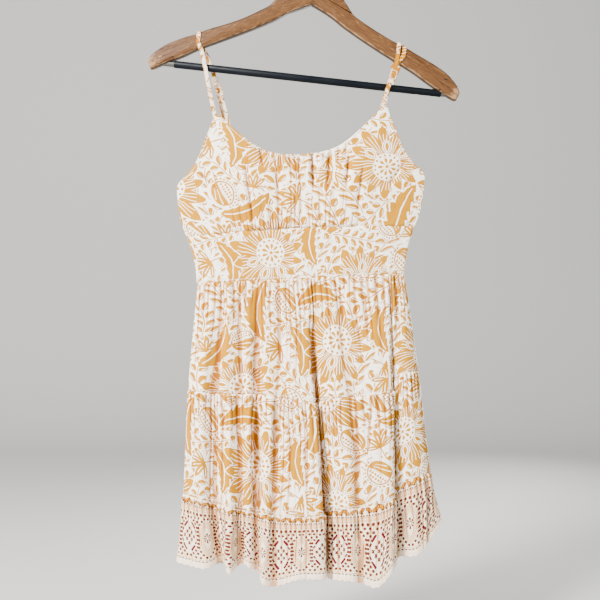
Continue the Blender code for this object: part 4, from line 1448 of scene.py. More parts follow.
def far(x, y):
    """The distance of (x, y) from nothing."""
    return (x * x + y * y) ** 0.5


def angle_of(y, x):
    return y.then("ARCTAN2", x)


def turned(x, y, degrees):
    """(x, y) seen from axes that are turned by degrees."""
    cos, sin = math.cos(math.radians(degrees)), math.sin(math.radians(degrees))
    return x * cos + y * sin, y * cos - x * sin


# %% Vectors and groups


def parts_of(vector):
    """A vector's parts along x, y and z."""
    return [Sum(part) for part in new_node(vector.id_data, "SeparateXYZ", {0: vector}).outputs]


def scaled(vector, amounts):
    return new_node(vector.id_data, "VectorMath", {0: vector, 1: amounts}, operation="MULTIPLY").outputs[0]


def new_group(name, *values):
    """A shader node group that reads a place and some named values, and the sockets that give them."""
    tree = bpy.data.node_groups.new(name, "ShaderNodeTree")
    tree.interface.new_socket(name="Place", in_out="INPUT", socket_type="NodeSocketVector")
    for label in values:
        tree.interface.new_socket(name=label, in_out="INPUT", socket_type="NodeSocketFloat")
    return tree, tree.nodes.new("NodeGroupInput").outputs


def finish_group(tree, **results):
    """Gives a group its outputs, each with the sum that feeds it."""
    for label in results:
        tree.interface.new_socket(name=label.capitalize(), in_out="OUTPUT", socket_type="NodeSocketFloat")
    leave = tree.nodes.new("NodeGroupOutput")
    for label, value in results.items():
        feed(leave.inputs[label.capitalize()], value)
    print(f"{tree.name}: {len(tree.nodes)} nodes")
    return tree


# %% [markdown]
# ## The flower print
#
# The cloth carries large open blooms, toothed leaves, round buds, three-lobed sprouts and sprigs, in one
# golden orange, with a second screen of thin ochre lines. A textile designer fills one repeat and lets it
# drop by half a length from column to column. The script fills it as a designer would: the motifs are strewn
# over the repeat, and small moves are kept when they lessen the crowding. Then each motif is drawn once,
# about the nearest of its places.

# %% The repeat
REPEAT_WIDE = 275.0
REPEAT_HIGH = 315.0
# Each row is a motif, how many of it, the discs that keep its room as (up along it, radius), and its sizes
MOTIFS = [
    ("bloom", 4, [(0, 50)], (0.92, 1.06)),
    ("leaf", 8, [(-22, 12), (0, 15), (22, 11)], (0.9, 1.2)),
    ("bud", 7, [(0, 19), (-24, 5)], (0.8, 1.0)),
    ("sprout", 9, [(4, 13), (-12, 7)], (0.85, 1.2)),
    ("sprig", 8, [(-27, 9), (-9, 12), (9, 12), (27, 9)], (0.85, 1.0)),
]

# %% Strew the motifs over the repeat
LAYOUT_MOVES = 7000
LAYOUT_SEED = 5
FIRST_STRIDE = 60.0
LAST_STRIDE = 2.0
TURN_STRIDE = 0.6
ALIKE_APART = 1.45


def lay_out():
    """Strews the motifs over the repeat: a dictionary of each motif's rows of (x, y, turn, size)."""
    chance = np.random.default_rng(LAYOUT_SEED)
    kinds = [name for name, count, _, _ in MOTIFS for _ in range(count)]
    discs = [np.array(row[2], dtype=float) for row in MOTIFS for _ in range(row[1])]
    sizes = np.array([chance.uniform(*row[3]) for row in MOTIFS for _ in range(row[1])])
    owner = np.repeat(np.arange(len(kinds)), [len(item) for item in discs])
    kind_of = np.array(kinds)[owner]
    up = np.concatenate([item[:, 0] for item in discs]) * sizes[owner]
    radius = np.concatenate([item[:, 1] for item in discs]) * sizes[owner]
    place = chance.uniform(0, 1, (len(kinds), 2)) * [REPEAT_WIDE, REPEAT_HIGH]
    turn = chance.uniform(0, 2 * math.pi, len(kinds))

    def crowding(moved):
        """How far a motif's discs overlap with the others'."""
        centres = place[owner] + up[:, None] * np.stack([-np.sin(turn[owner]), np.cos(turn[owner])], axis=1)
        mine = owner == moved
        apart = centres[mine][:, None] - centres[~mine][None]
        column = np.rint(apart[..., 0] / REPEAT_WIDE)
        apart[..., 0] -= column * REPEAT_WIDE
        apart[..., 1] -= column * REPEAT_HIGH / 2
        apart[..., 1] -= np.rint(apart[..., 1] / REPEAT_HIGH) * REPEAT_HIGH
        alike = kind_of[mine][:, None] == kind_of[~mine][None]
        room = (radius[mine][:, None] + radius[~mine][None]) * np.where(alike, ALIKE_APART, 1.0)
        return (np.maximum(0.0, room - np.linalg.norm(apart, axis=-1)) ** 2).sum()

    for move in range(LAYOUT_MOVES):
        moved = move % len(kinds)
        before = crowding(moved)
        old = place[moved].copy(), turn[moved]
        stride = FIRST_STRIDE * (1.0 - move / LAYOUT_MOVES) + LAST_STRIDE
        place[moved] += chance.normal(0, stride, 2)
        turn[moved] += chance.normal(0, TURN_STRIDE)
        if crowding(moved) > before:
            place[moved], turn[moved] = old
    rows = {name: [] for name, *_ in MOTIFS}
    for kind, (x, y), angle, size in zip(kinds, place, turn, sizes):
        rows[kind].append((x % REPEAT_WIDE, y, angle, size))
    crowded = sum(crowding(item) for item in range(len(kinds)))
    print("crowding left in the repeat:", round(crowded), "from", len(kinds), "motifs")
    print("blooms at", [(round(row[0]), round(row[1] % REPEAT_HIGH)) for row in rows["bloom"]])
    return rows


LAYOUT = lay_out()

# %% Find the nearest place of a motif


def about_nearest(x, y, rows):
    """The point as the nearest of a motif's places sees it, upright and at its own size."""
    tree = x.source.id_data
    nearest, least = None, None
    for row, (across, up, turn, size) in enumerate(rows):
        step = x - across
        near_x = step.wrapped(REPEAT_WIDE)
        near_y = (y - up - (step - near_x) * (REPEAT_HIGH / 2 / REPEAT_WIDE)).wrapped(REPEAT_HIGH)
        near = new_node(tree, "CombineXYZ", {0: near_x, 1: near_y}).outputs[0]
        inputs = {"Vector": near, "Rotation": (0, 0, turn), "Scale": (size if row % 2 else -size, size, 1)}
        seen = new_node(tree, "Mapping", inputs, vector_type="TEXTURE").outputs[0]
        reach = far(near_x, near_y) / size
        if nearest is None:
            nearest, least = seen, reach
            continue
        inputs = {"Factor": reach.below(least), 4: nearest, 5: seen}
        nearest = new_node(tree, "Mix", inputs, data_type="VECTOR").outputs[1]
        least = least.least(reach)
    return parts_of(nearest)[:2]


# %% Shapes that the motifs share


def petal_fan(angle, count):
    """Which petal an angle falls in, and how far across it: 0 in its middle and 1 at its sides."""
    place = angle * (count / (2 * math.pi))
    across = place.wrapped(1.0)
    return place - across, abs(across) * 2.0


def lens(x, y, at_x, at_y, degrees, long, short):
    """1 on the outline of a leaflet pointed at both ends, less inside it, and the side a point lies on."""
    along, across = turned(x - at_x, y - at_y, degrees)
    return (along / long) ** 2.0 + abs(across) / short, across


def draw_leaflets(x, y):
    """A stem up the middle with pairs of leaflets, half of each filled. It goes on without end."""
    side = abs(x)
    along = y.wrapped(12.5)
    leaflet, below_rib = lens(side, along, 6.8, 1.5, 42, 7.0, 3.4)
    fill = leaflet.below(1.0) * below_rib.above(-1.2)
    outline = leaflet.between(0.7, 1.06).most(side.below(0.7))
    return fill, outline


# %% [markdown]
# Each motif is a function that gives three masks, in the motif's own millimetres: its solid fill, its thin
# lines, and the room that it keeps clear of the motifs below it. A motif could be painted and laid on as a
# picture, but the edge of a formula is sharp at every size, and one number moves it.

# %% Bloom
PETALS = 13
PETAL_TIP = 50.0
PETAL_NOTCH = 19.0
HEART_RADIUS = 19.0
HEART_DOTS = 15
HEART_PETALS = 9
INNER_PETALS = (38, -10, -58)
INNER_PETAL_OUT = 28.0


def draw_bloom(x, y):
    reach = far(x, y)
    angle = angle_of(y, x)
    petal, across = petal_fan(angle, PETALS)
    tip = (petal * 2.4).wave() * 3.5 + (angle + 0.5).wave() * 6.0 + PETAL_TIP
    teeth = abs((across * 2.5).wrapped(1.0)) * ((angle + 2.2).wave() - 0.1).most(0.0) * 6.0
    edge = tip - across**1.4 * PETAL_NOTCH - teeth
    heart_x, heart_y = x + 6.0, y - 3.0
    heart_reach = far(heart_x, heart_y)
    heart_angle = angle_of(heart_y, heart_x)
    inner = None
    for degrees in INNER_PETALS:
        out_x = INNER_PETAL_OUT * math.cos(math.radians(degrees))
        out_y = INNER_PETAL_OUT * math.sin(math.radians(degrees))
        one, _ = lens(heart_x, heart_y, out_x, out_y, degrees, 9.0, 4.6)
        inner = one if inner is None else inner.least(one)
    petals = reach.below(edge) * heart_reach.above(HEART_RADIUS) * inner.above(1.45)
    narrow = 0.11 - reach * 0.0016
    rays = abs(across - 0.5).below(narrow) * reach.below(edge - 4.0)
    rays = rays.most(across.below(narrow) * reach.below(tip - 12.0))
    _, dot_across = petal_fan(heart_angle, HEART_DOTS)
    dots = far(heart_reach - 15.8, dot_across * 3.4).below(1.6)
    _, daisy_across = petal_fan(heart_angle, HEART_PETALS)
    daisy = daisy_across.below(0.66 - abs(heart_reach - 8.6) * 0.1) * heart_reach.between(3.6, 12.0)
    fill = petals.without(rays).most(daisy).most(heart_reach.below(2.3)).most(dots).most(inner.below(0.5))
    return fill, inner.between(0.86, 1.12), reach.below(edge + 2.0)


# %% Leaf
LEAF_HALF = 35.0


def draw_leaf(x, y):
    share = y / LEAF_HALF
    room = (1.0 - share * share).most(0.0)
    across = x - room * 11.0 + 5.5
    half = room**0.6 * 13.0
    tooth = (y / 10.5).wrapped(1.0) + 0.5
    small_tooth = (y / 4.2).wrapped(1.0) + 0.5
    outer = half * (1.3 - tooth * 0.42) - small_tooth * 0.8
    inner = half * (0.62 + tooth * 0.24)
    fill = across.below(outer) * (across + inner).above(0.0) * room.above(0.0)
    rib = abs(across).below(0.95 - abs(share) * 0.4) * share.between(-0.88, 0.8)
    line = abs(x + (y + 38.0) * 0.25).below(0.6) * y.between(-44.0, -33.0)
    clear = across.below(outer + 1.8) * (across + inner).above(-1.8) * room.above(-0.1)
    return fill.without(rib), line, clear


# %% Bud


def draw_bud(x, y):
    shape = far(x / 14.0, y / 18.5)
    angle = angle_of(y, x)
    spread = angle_of(x, y + 25.0)
    stripes = abs((spread * 4.6).wrapped(1.0)).below(0.09) * y.above(-13.0)
    solid = shape.below(1.0) * x.below(1.0)
    seeds = far(x.wrapped(4.4), y.wrapped(4.4)).below(1.6) * shape.below(0.86) * x.above(2.2)
    place = angle * (26 / (2 * math.pi))
    halo = far((shape - 1.2) * 15.5, place.wrapped(1.0) * 4.6).below(1.35) * x.above(-5.0)
    outline = abs(shape - 0.98).below(0.065)
    stem = abs(x - y * y * 0.004 + 1.2).below(0.65) * y.between(-34.0, -18.0)
    return solid.without(stripes).most(seeds), outline.most(halo).most(stem), shape.below(1.34)


# %% Sprout and sprig


def draw_sprout(x, y):
    from_foot = y + 9.0
    reach = far(x, from_foot)
    across = angle_of(x, from_foot) / 0.62
    side = abs(across.wrapped(1.0)) * 2.0
    edge = 25.0 - side**1.4 * 13.0 - abs(across) * 2.5
    fill = reach.below(edge) * abs(across).below(2.5)
    vein = side.below(0.15) * reach.between(6.0, 16.0)
    stem = abs(x + y * 0.12 + 1.4).below(0.65) * y.between(-26.0, -8.0)
    return fill.without(vein), stem, reach.below(edge + 2.2)


def draw_sprig(x, y):
    stem_x = x - (y / 24.0).wave() * 6.0
    fill, outline = draw_leaflets(stem_x, y)
    tip, beside_rib = lens(stem_x, y, 0.0, 41.0, 90, 8.0, 3.4)
    inside = abs(y).below(32.0)
    fill = (fill * inside).most(tip.below(0.95) * beside_rib.above(-1.2))
    outline = (outline * inside).most(tip.between(0.7, 1.06))
    room = abs(stem_x).below(13.5) * abs(y).below(34.0)
    return fill, outline, room.most(tip.below(1.3))


DRAWINGS = {
    "bloom": draw_bloom,
    "leaf": draw_leaf,
    "bud": draw_bud,
    "sprout": draw_sprout,
    "sprig": draw_sprig,
}

# %% The print as one node group
VINE_SWAY = 20.0
VINES_IN_REPEAT = 10


def draw_vines(x, y):
    """The sprigs that fill the ground between the motifs."""
    column = x - (y * (4 * math.pi / REPEAT_HIGH)).wave() * VINE_SWAY
    stem_x = column.wrapped(REPEAT_WIDE / VINES_IN_REPEAT)
    return draw_leaflets(stem_x, y + (column - stem_x) * 0.31)


def wobbled(vector, scale, amount):
    """A place on the cloth, pushed a little to and fro as a hand-cut block does."""
    inputs = {"Vector": vector, "Scale": scale, "Detail": 1.0}
    noise = new_node(vector.id_data, "TexNoise", inputs, noise_dimensions="2D")
    inputs = {0: noise.outputs["Color"], 1: (2 * amount, 2 * amount, 0.0), 2: vector}
    return new_node(vector.id_data, "VectorMath", inputs, operation="MULTIPLY_ADD").outputs[0]


def build_flower_print():
    """Masks of the flower print from a place on the flat cloth in millimetres."""
    tree, given = new_group("flower print")
    x, y, _ = parts_of(wobbled(given["Place"], 0.06, 1.6))
    fill, line, taken = None, None, None
    for name, draw in DRAWINGS.items():
        new_fill, new_line, room = draw(*about_nearest(x, y, LAYOUT[name]))
        if fill is None:
            fill, line, taken = new_fill, new_line, room
            continue
        fill = fill.most(new_fill.without(taken))
        line = line.most(new_line.without(taken))
        taken = taken.most(room)
    vine_x, vine_y, _ = parts_of(wobbled(given["Place"], 0.011, 17.0))
    vine_fill, vine_line = draw_vines(vine_x, vine_y)
    fill = fill.most(vine_fill.without(taken))
    line = line.most(vine_line.without(taken))
    return finish_group(tree, fill=fill, line=line)


flower_print = build_flower_print()

# %% [markdown]
# ## The border print
#
# The hem band is cut from a border that runs along the cloth's edge: a beige stripe with fine dots, a row of
# larger dots, and then two kinds of pointed medallion in turn. Each medallion is the same left and right of
# its middle and above and below it, so it is folded into one corner before it is drawn.

# %% The two medallions
MEDALLION_PITCH = 60.0
MEDALLION_LEVEL = 56.0


def pointed_oval(x, y, half_wide, half_high):
    """How far a point lies outside a pointed oval, and how far it lies along the oval's side."""
    radius = (half_wide**2 + half_high**2) / (2.0 * half_wide)
    from_centre = abs(x) + (radius - half_wide)
    return far(from_centre, y) - radius, angle_of(abs(y), from_centre) * radius


def dots_along(outside, along, pitch, radius):
    return far(outside, (along - pitch / 2).wrapped(pitch)).below(radius)


def dash(x, y, at_x, at_y, degrees, half_long, half_wide):
    along, across = turned(abs(x) - at_x, abs(y) - at_y, degrees)
    return abs(along).below(half_long) * abs(across).below(half_wide)


def lattice_medallion(x, level):
    """The medallion with the lattice: its rust, crimson and beige."""
    outside, along = pointed_oval(x, level, 18.5, 30.0)
    slant, other_slant = x + level * 0.78, x - level * 0.78
    in_lattice = abs(slant).below(12.3) * abs(other_slant).below(12.3)
    cross_x, cross_y = abs(slant.wrapped(8.2)), abs(other_slant.wrapped(8.2))
    crosses = cross_x.least(cross_y).below(1.35) * cross_x.most(cross_y).below(3.3)
    rust = dots_along(outside + 1.0, along, 6.0, 2.1).most(crosses * in_lattice)
    crimson = dash(x, level, 7.0, 16.2, -54, 5.2, 1.7).most(dash(x, level, 11.6, 8.0, -58, 2.6, 1.3))
    return rust, crimson, abs(outside - 2.6).below(0.8)


def flower_medallion(x, level):
    """The medallion with the small flower: its rust and beige."""
    outside, along = pointed_oval(x, level, 13.0, 27.0)
    rust = dots_along(outside - 2.6, along, 5.4, 1.9).most(dots_along(outside + 3.4, along, 2.6, 0.75))
    _, across = petal_fan(angle_of(level, x), 8)
    rust = rust.most(across.below(0.6) * far(x, level * 0.7).between(1.2, 5.4))
    return rust, outside.between(-2.2, 0.0).most(outside.between(-7.4, -4.6))


# %% Corners and rows of the border
# Each row of dots is its pitch, how far down it lies, its dots' radius and how far they stretch along it
DOT_ROWS = [(6.6, 22.2, 2.25, 1.0), (3.6, 10.8, 1.2, 1.0), (5.2, 90.4, 1.05, 1.7)]


def corner_dots(x, level):
    """The dots in the corners between the medallions."""
    corner_x = (x + MEDALLION_PITCH / 4).wrapped(MEDALLION_PITCH / 2)
    corner_y = 28.5 - abs(level)
    return far(abs(corner_x) - 3.4, corner_y).least(far(corner_x, corner_y - 5.6)).below(2.0)


def border_rows(x, down):
    """The rows above and below the medallions: their rust, beige and orange."""
    stripe = down.between(11.8, 18.8).without(far(x.wrapped(3.2), down - 15.4).below(0.8))
    beige = stripe.most(abs(down - 88.0).below(0.7)).most(abs(down - 24.8).below(0.5))
    in_pair = x.wrapped(17.2)
    which = x - in_pair
    scrap_x, scrap_y = turned(abs(in_pair) - 4.3, down - 4.6 + (which * 0.37).wave() * 1.4, 40)
    scraps = far(scrap_x / 4.6, scrap_y / 2.4) + (which * 0.61).wave() * 0.2
    rust = scraps.between(0.8, 1.08).most(far((x + 4.3).wrapped(8.6), down - 7.4).below(1.4))
    for pitch, at, radius, stretch in DOT_ROWS:
        rust = rust.most(far(x.wrapped(pitch) / stretch, down - at).below(radius))
    return rust, beige, scraps.below(0.8)


# %% The border as one node group
HEM_LINE = 93.8


def build_border_print():
    """Masks of the border print from a place on the flat cloth, with y up from the band's seam."""
    tree, given = new_group("border print")
    x, y, _ = parts_of(wobbled(given["Place"], 0.12, 0.7))
    down = y * -1.0
    level = down - MEDALLION_LEVEL
    rust, crimson, beige = lattice_medallion(x.wrapped(MEDALLION_PITCH), level)
    other_rust, other_beige = flower_medallion((x + MEDALLION_PITCH / 2).wrapped(MEDALLION_PITCH), level)
    row_rust, row_beige, orange = border_rows(x, down)
    rust = rust.most(other_rust).most(corner_dots(x, level)).most(row_rust)
    beige = beige.most(other_beige).most(row_beige)
    hem = down.above(HEM_LINE)
    return finish_group(tree, rust=rust, crimson=crimson, beige=beige, orange=orange, hem=hem)


border_print = build_border_print()

# %% [markdown]
# ## The cloth
#
# The cloth is a light plain weave that has never been quite smooth: its yarns have thick and thin places, and
# it keeps a fine upright crinkle. It was printed from one side, so the inside shows the print only faintly.
# Seams and hem are held by one row of stitches, which draws the cloth in a little. Threads and stitches could
# be modelled, but they are finer than a pixel here, so they are bump. Weave and stitches are groups that the
# printed cloth, the border and the straps share.

# %% Weave and stitches as node groups
THREAD_PITCH = 0.62
STITCH_PITCH = 2.8
STITCH_HALF = 0.8
STITCH_RADIUS = 0.32
DRAWN_IN_REACH = 1.5


def noise_of(vector, amounts, detail=1.0, flat=True):
    """Noise of a place, from 0 to 1, with so many features for each millimetre along each axis."""
    inputs = {"Vector": scaled(vector, amounts), "Scale": 1.0, "Detail": detail}
    dimensions = "2D" if flat else "3D"
    return Sum(new_node(vector.id_data, "TexNoise", inputs, noise_dimensions=dimensions).outputs[0])


def build_weave():
    """The weave's height, the cloth's tone and how much ink it took, from a place in millimetres."""
    tree, given = new_group("weave")
    place = given["Place"]
    x, y, _ = parts_of(place)
    turns = 2 * math.pi / THREAD_PITCH
    threads = (x * turns).wave() * (y * turns).wave()
    slubs = noise_of(place, (1.5, 0.07, 0.0)) + noise_of(place, (0.06, 1.3, 0.0))
    crinkle = noise_of(place, (0.34, 0.045, 0.0), 2.0)
    height = threads * 0.08 + slubs * 0.22 + crinkle * 0.9
    tone = noise_of(place, (0.016, 0.012, 0.0), 2.0) * 0.7 + slubs * 0.15
    ink = noise_of(place, (0.05, 0.05, 0.0), 3.0) * 0.6 + noise_of(place, (1.1, 1.1, 0.0)) * 0.4
    return finish_group(tree, height=height, tone=tone, ink=ink)


def build_stitching():
    """A row of stitches at a height above the edge: where the thread shows, and the height it gives."""
    tree, given = new_group("stitching", "Row")
    x, y, _ = parts_of(given["Place"])
    off = y - Sum(given["Row"])
    from_stitch = far((abs(x.wrapped(STITCH_PITCH)) - STITCH_HALF).most(0.0), off)
    round_top = (1.0 - from_stitch / STITCH_RADIUS).most(0.0) ** 0.5
    drawn_in = (1.0 - abs(off) / DRAWN_IN_REACH).most(0.0)
    height = round_top * 0.8 - drawn_in * 0.9
    return finish_group(tree, thread=from_stitch.below(STITCH_RADIUS), height=height)


weave = build_weave()
stitching = build_stitching()

# %% Start and end a finish


def new_finish(name, colour, roughness, metallic=0.0):
    """A material of plain values, with its nodes and its shader."""
    material = bpy.data.materials.new(name)
    material.use_nodes = True
    shader = material.node_tree.nodes["Principled BSDF"]
    feed(shader.inputs["Base Color"], colour)
    feed(shader.inputs["Roughness"], roughness)
    feed(shader.inputs["Metallic"], metallic)
    return material, material.node_tree, shader


def end_finish(shader, colour, roughness, specular, height, distance):
    """Feeds a finish's shader, with a height from 0 to 1 as bump of so many millimetres."""
    inputs = {"Strength": 1.0, "Distance": distance * MM, "Height": height}
    bump = new_node(shader.id_data, "Bump", inputs)
    feed(shader.inputs["Base Color"], colour)
    feed(shader.inputs["Roughness"], roughness)
    feed(shader.inputs["Specular IOR Level"], specular)
    feed(shader.inputs["Normal"], bump.outputs[0])


# %% What a finish is mixed from


def with_group(tree, group, **values):
    """Places a group in a material. Its results are sums, by name."""
    inputs = {name.capitalize(): value for name, value in values.items()}
    node = new_node(tree, "Group", inputs, node_tree=group)
    return {output.name.lower(): Sum(output) for output in node.outputs}


def attribute(tree, name):
    return Sum(new_node(tree, "Attribute", {}, attribute_name=name).outputs["Fac"])


def place_on_cloth(tree, map_name, size=1.0):
    """The place on the flat cloth, in millimetres of a design that is printed at this size."""
    chart = new_node(tree, "UVMap", {}, uv_map=map_name)
    return scaled(chart.outputs[0], (1 / MM / size, 1 / MM / size, 0.0))


def mixed(factor, first, second, blend="MIX"):
    """Two colours mixed. Each is a colour or the output of a node."""
    inputs = {"Factor": factor, 6: first, 7: second}
    return new_node(factor.source.id_data, "Mix", inputs, data_type="RGBA", blend_type=blend).outputs[2]


# %% Colours of the cloth
PRINT_SIZE = 1.06
WHITE = (0.955, 0.885, 0.775)
SHADED_WHITE = (0.915, 0.825, 0.705)
CREAM = (0.79, 0.62, 0.39)
ORANGE = (0.385, 0.160, 0.0)
LIGHT_ORANGE = (0.48, 0.211, 0.0)
OCHRE = (0.43, 0.18, 0.002)
RUST = (0.125, 0.022, 0.009)
CRIMSON = (0.12, 0.005, 0.012)
BEIGE = (0.70, 0.44, 0.24)
HEM_PINK = (0.86, 0.67, 0.52)
THREAD = (0.88, 0.84, 0.78)
# a warm brown that the cloth is darkened towards in its creases, as painted shade
PAINTED_CREASE_SHADE = (0.54, 0.33, 0.19)


def flower_colours(tree, ground, ink):
    drawing = with_group(tree, flower_print, place=place_on_cloth(tree, "flat", PRINT_SIZE))
    colour = mixed(drawing["fill"], ground, mixed(ink, ORANGE, LIGHT_ORANGE))
    return mixed(drawing["line"], colour, OCHRE)


def border_colours(tree, ground, ink):
    drawing = with_group(tree, border_print, place=place_on_cloth(tree, "flat"))
    inked = mixed(ink, ORANGE, LIGHT_ORANGE)
    colour = mixed(ink * 0.5 + 0.35, ground, CREAM)
    paints = {"beige": BEIGE, "hem": HEM_PINK, "orange": inked, "rust": RUST, "crimson": CRIMSON}
    for name, paint in paints.items():
        colour = mixed(drawing[name], colour, paint)
    return colour


# %% Printed cloth, border cloth and their insides
DEEPEST_SHADE = 0.88
SEAM_ROW = 2.6
HEM_ROW = 8.0


def cloth(name, colours, row=None, inside=False):
    """A cloth finish, with a row of stitches so far above the edge where there is one."""
    material, tree, shader = new_finish(name, WHITE, 0.85)
    yarn = with_group(tree, weave, place=place_on_cloth(tree, "flat"))
    ground = mixed(yarn["tone"], SHADED_WHITE, WHITE)
    ink = (yarn["ink"] - 0.5) * 2.0 + 0.5
    colour = colours(tree, ground, ink.clamped())
    if inside:
        colour = mixed(yarn["tone"] * 0.3 + 0.62, colour, ground)
    # Painted shade: the colour is darkened towards a warm brown where the cloth lies deep in the hollows of
    # its folds and gathers
    shade = (attribute(tree, "hollow") * 2.2 - 0.1).clamped(DEEPEST_SHADE)
    colour = mixed(shade, colour, PAINTED_CREASE_SHADE, "MULTIPLY")
    height = yarn["height"]
    if row is not None:
        sewing = with_group(tree, stitching, place=place_on_cloth(tree, "stitch"), row=row)
        colour = mixed(sewing["thread"], colour, THREAD)
        height = height + sewing["height"]
    feed(shader.inputs["Sheen Weight"], 0.02)
    end_finish(shader, colour, 0.93 - yarn["height"] * 0.14, 0.1, height, 0.55)
    return material


finishes = {
    "printed_cloth": [
        cloth("printed cloth", flower_colours, SEAM_ROW),
        cloth("printed cloth inside", flower_colours, SEAM_ROW, inside=True),
    ],
    "border_cloth": [
        cloth("border cloth", border_colours, HEM_ROW),
        cloth("border cloth inside", border_colours, HEM_ROW, inside=True),
    ],
    "strap_cloth": [cloth("strap cloth", flower_colours)],
}
print("cloth finishes:", ", ".join(finishes))

# %% [markdown]
# ## The hanger's finishes
#
# The arms are a plain hardwood, stained warm brown and thinly varnished. Years on a rail have rubbed the
# arrises and the tips down to pale wood, opened the grain there, and left small scratches. Noise that is
# stretched along the grain can't slide over the wood, because it reads the place in the object, where a flat
# picture would need unwrapping. Each arm was sawn along its own grain, so the grain is turned to each arm's
# slope.

# %% Worn wood as one node group


def build_worn_wood():
    """Masks and height of worn varnished wood, with its grain along x, and painted shade on its tops and
    undersides.
    """
    tree, given = new_group("worn wood", "Tip", "Edge", "Upward")
    place = given["Place"]
    x, _, across = parts_of(place)
    from_tip = abs(x - Sum(given["Tip"]))
    upward = Sum(given["Upward"])
    figure = noise_of(place, (0.011, 0.15, 0.15), 4.0, flat=False)
    pores = noise_of(place, (0.08, 1.6, 1.6), 2.0, flat=False)
    patches = noise_of(place, (0.09, 0.2, 0.2), 3.0, flat=False)
    lines = ((across + figure * 30.0) * 1.1).wave() * 0.5 + 0.5
    grain = (figure * 1.5 - 0.35 + lines * 0.25).clamped()
    vein = ((pores - 0.54) * 9.0).clamped() * (patches * 1.6 - 0.2).most(0.0)
    # bare wood on the arrises, more on faces that turn down than on faces that turn up
    rubbed = (Sum(given["Edge"]) * 1.2 + patches * 1.8 - 1.62) * 3.0 * (0.75 - upward * 0.5)
    tip = (0.72 - from_tip / 17.0 + (patches - 0.5) * 2.6) * 2.2
    bare = rubbed.most(tip).clamped()
    # Painted shade: faces that turn down, and faces that turn up, are darkened as the shade on each arm's
    # underside and top edge
    under = (upward * -2.0 - 1.1).most((upward - 0.15) * 2.4).clamped()
    wander = (patches - 0.5) * 9.0
    crack = abs(across.wrapped(8.6) + wander).below(0.32) * from_tip.below(34.0) * figure.above(0.44)
    # the painted shade of the tops and undersides joins the cracks' dark mask
    crack = crack.most(under * 0.8)
    _, scratch_across = turned(x, across, 58)
    scratch = abs(scratch_across.wrapped(31.0) + (patches - 0.5) * 5.0).below(0.24) * pores.above(0.5)
    vein = vein.most(scratch * patches.above(0.5))
    height = pores * 0.35 + figure * 0.5 - crack * 0.6 - scratch * 0.3
    return finish_group(tree, grain=grain, vein=vein, bare=bare, crack=crack, height=height)


worn_wood = build_worn_wood()

# %% Wood of the arms
# Each row is an arm, its grain's slope in degrees, and where its tip lies along the grain, in millimetres
ARM_GRAIN = {"hanger_left_arm": (22.0, -300.0), "hanger_right_arm": (-36.0, 310.0)}
WOOD_DARK = (0.038, 0.0135, 0.0035)
WOOD = (0.09, 0.0365, 0.0105)
WOOD_LIGHT = (0.19, 0.094, 0.032)
WOOD_BARE = (0.24, 0.135, 0.062)
# a near-black brown for the cracks and for the painted shade on the arms' tops and undersides
WOOD_CRACK_AND_SHADE = (0.012, 0.005, 0.003)


def object_place(tree, slope=0.0):
    """The place in the object's own millimetres, seen along axes that slope down by so many degrees."""
    source = tree.nodes.new("ShaderNodeTexCoord").outputs["Object"]
    mapping = new_node(tree, "Mapping", {"Vector": source, "Rotation": (0.0, math.radians(slope), 0.0)})
    return scaled(mapping.outputs[0], (1 / MM, 1 / MM, 1 / MM))


def arm_wood(node, slope, tip):
    material, tree, shader = new_finish(node.replace("hanger_", "").replace("_", " ") + " wood", WOOD, 0.5)
    place = object_place(tree, slope)
    edge = attribute(tree, "edge")
    _, _, upward = parts_of(tree.nodes.new("ShaderNodeNewGeometry").outputs["Normal"])
    wood = with_group(tree, worn_wood, place=place, tip=tip, edge=edge, upward=upward)
    colour = mixed(wood["grain"], WOOD_DARK, WOOD)
    # the cracks' dark tint also paints the shade on the arms' tops and undersides
    for name, tint in {"vein": WOOD_LIGHT, "bare": WOOD_BARE, "crack": WOOD_CRACK_AND_SHADE}.items():
        colour = mixed(wood[name], colour, tint)
    roughness = wood["bare"] * 0.3 + wood["height"] * 0.2 + 0.36
    end_finish(shader, colour, roughness, 0.2, wood["height"], 0.35)
    return material


for node, (slope, tip) in ARM_GRAIN.items():
    finishes[node] = [arm_wood(node, slope, tip)]
    print(finishes[node][0].name, "slopes by", slope, "degrees")

# %% [markdown]
# The bar's sleeve is dark extruded plastic with a soft shine, and the sliders are cream plastic, rubbed
# duller in places. The bar's end is drawn rod, and the hook is plated wire that has lost some of its
# brightness. All four are smooth and differ only in numbers, so one function makes them: a fine noise,
# stretched along the bar for drawn and extruded pieces, mixes each finish with its worn state.

# %% Plastic, steel and wire
# Each row is a slot, its finish, how metallic it is, its specular level, its roughness when new and worn, and
# its fine noise's features for each millimetre along each axis
WORN_FINISHES = [
    ("slider_plastic", "slider plastic", 0.0, 0.5, (0.28, 0.5), (0.5, 0.5, 0.5)),
    ("hook_wire", "plated wire", 1.0, 0.5, (0.16, 0.42), (0.7, 0.7, 0.7)),
    ("bar_steel", "drawn steel", 0.9, 0.5, (0.4, 0.6), (0.05, 2.0, 2.0)),
    ("bar_sleeve", "sleeve plastic", 0.0, 0.1, (0.42, 0.6), (0.03, 1.2, 1.2)),
]
# Each row is a finish's colour when new and when worn
WORN_COLOURS = {
    "slider plastic": ((0.56, 0.42, 0.26), (0.44, 0.31, 0.18)),
    "plated wire": ((0.66, 0.65, 0.63), (0.42, 0.40, 0.37)),
    "drawn steel": ((0.13, 0.125, 0.115), (0.09, 0.085, 0.08)),
    "sleeve plastic": ((0.0012, 0.0024, 0.0045), (0.003, 0.0045, 0.007)),
}
WORN_BUMP = 0.05


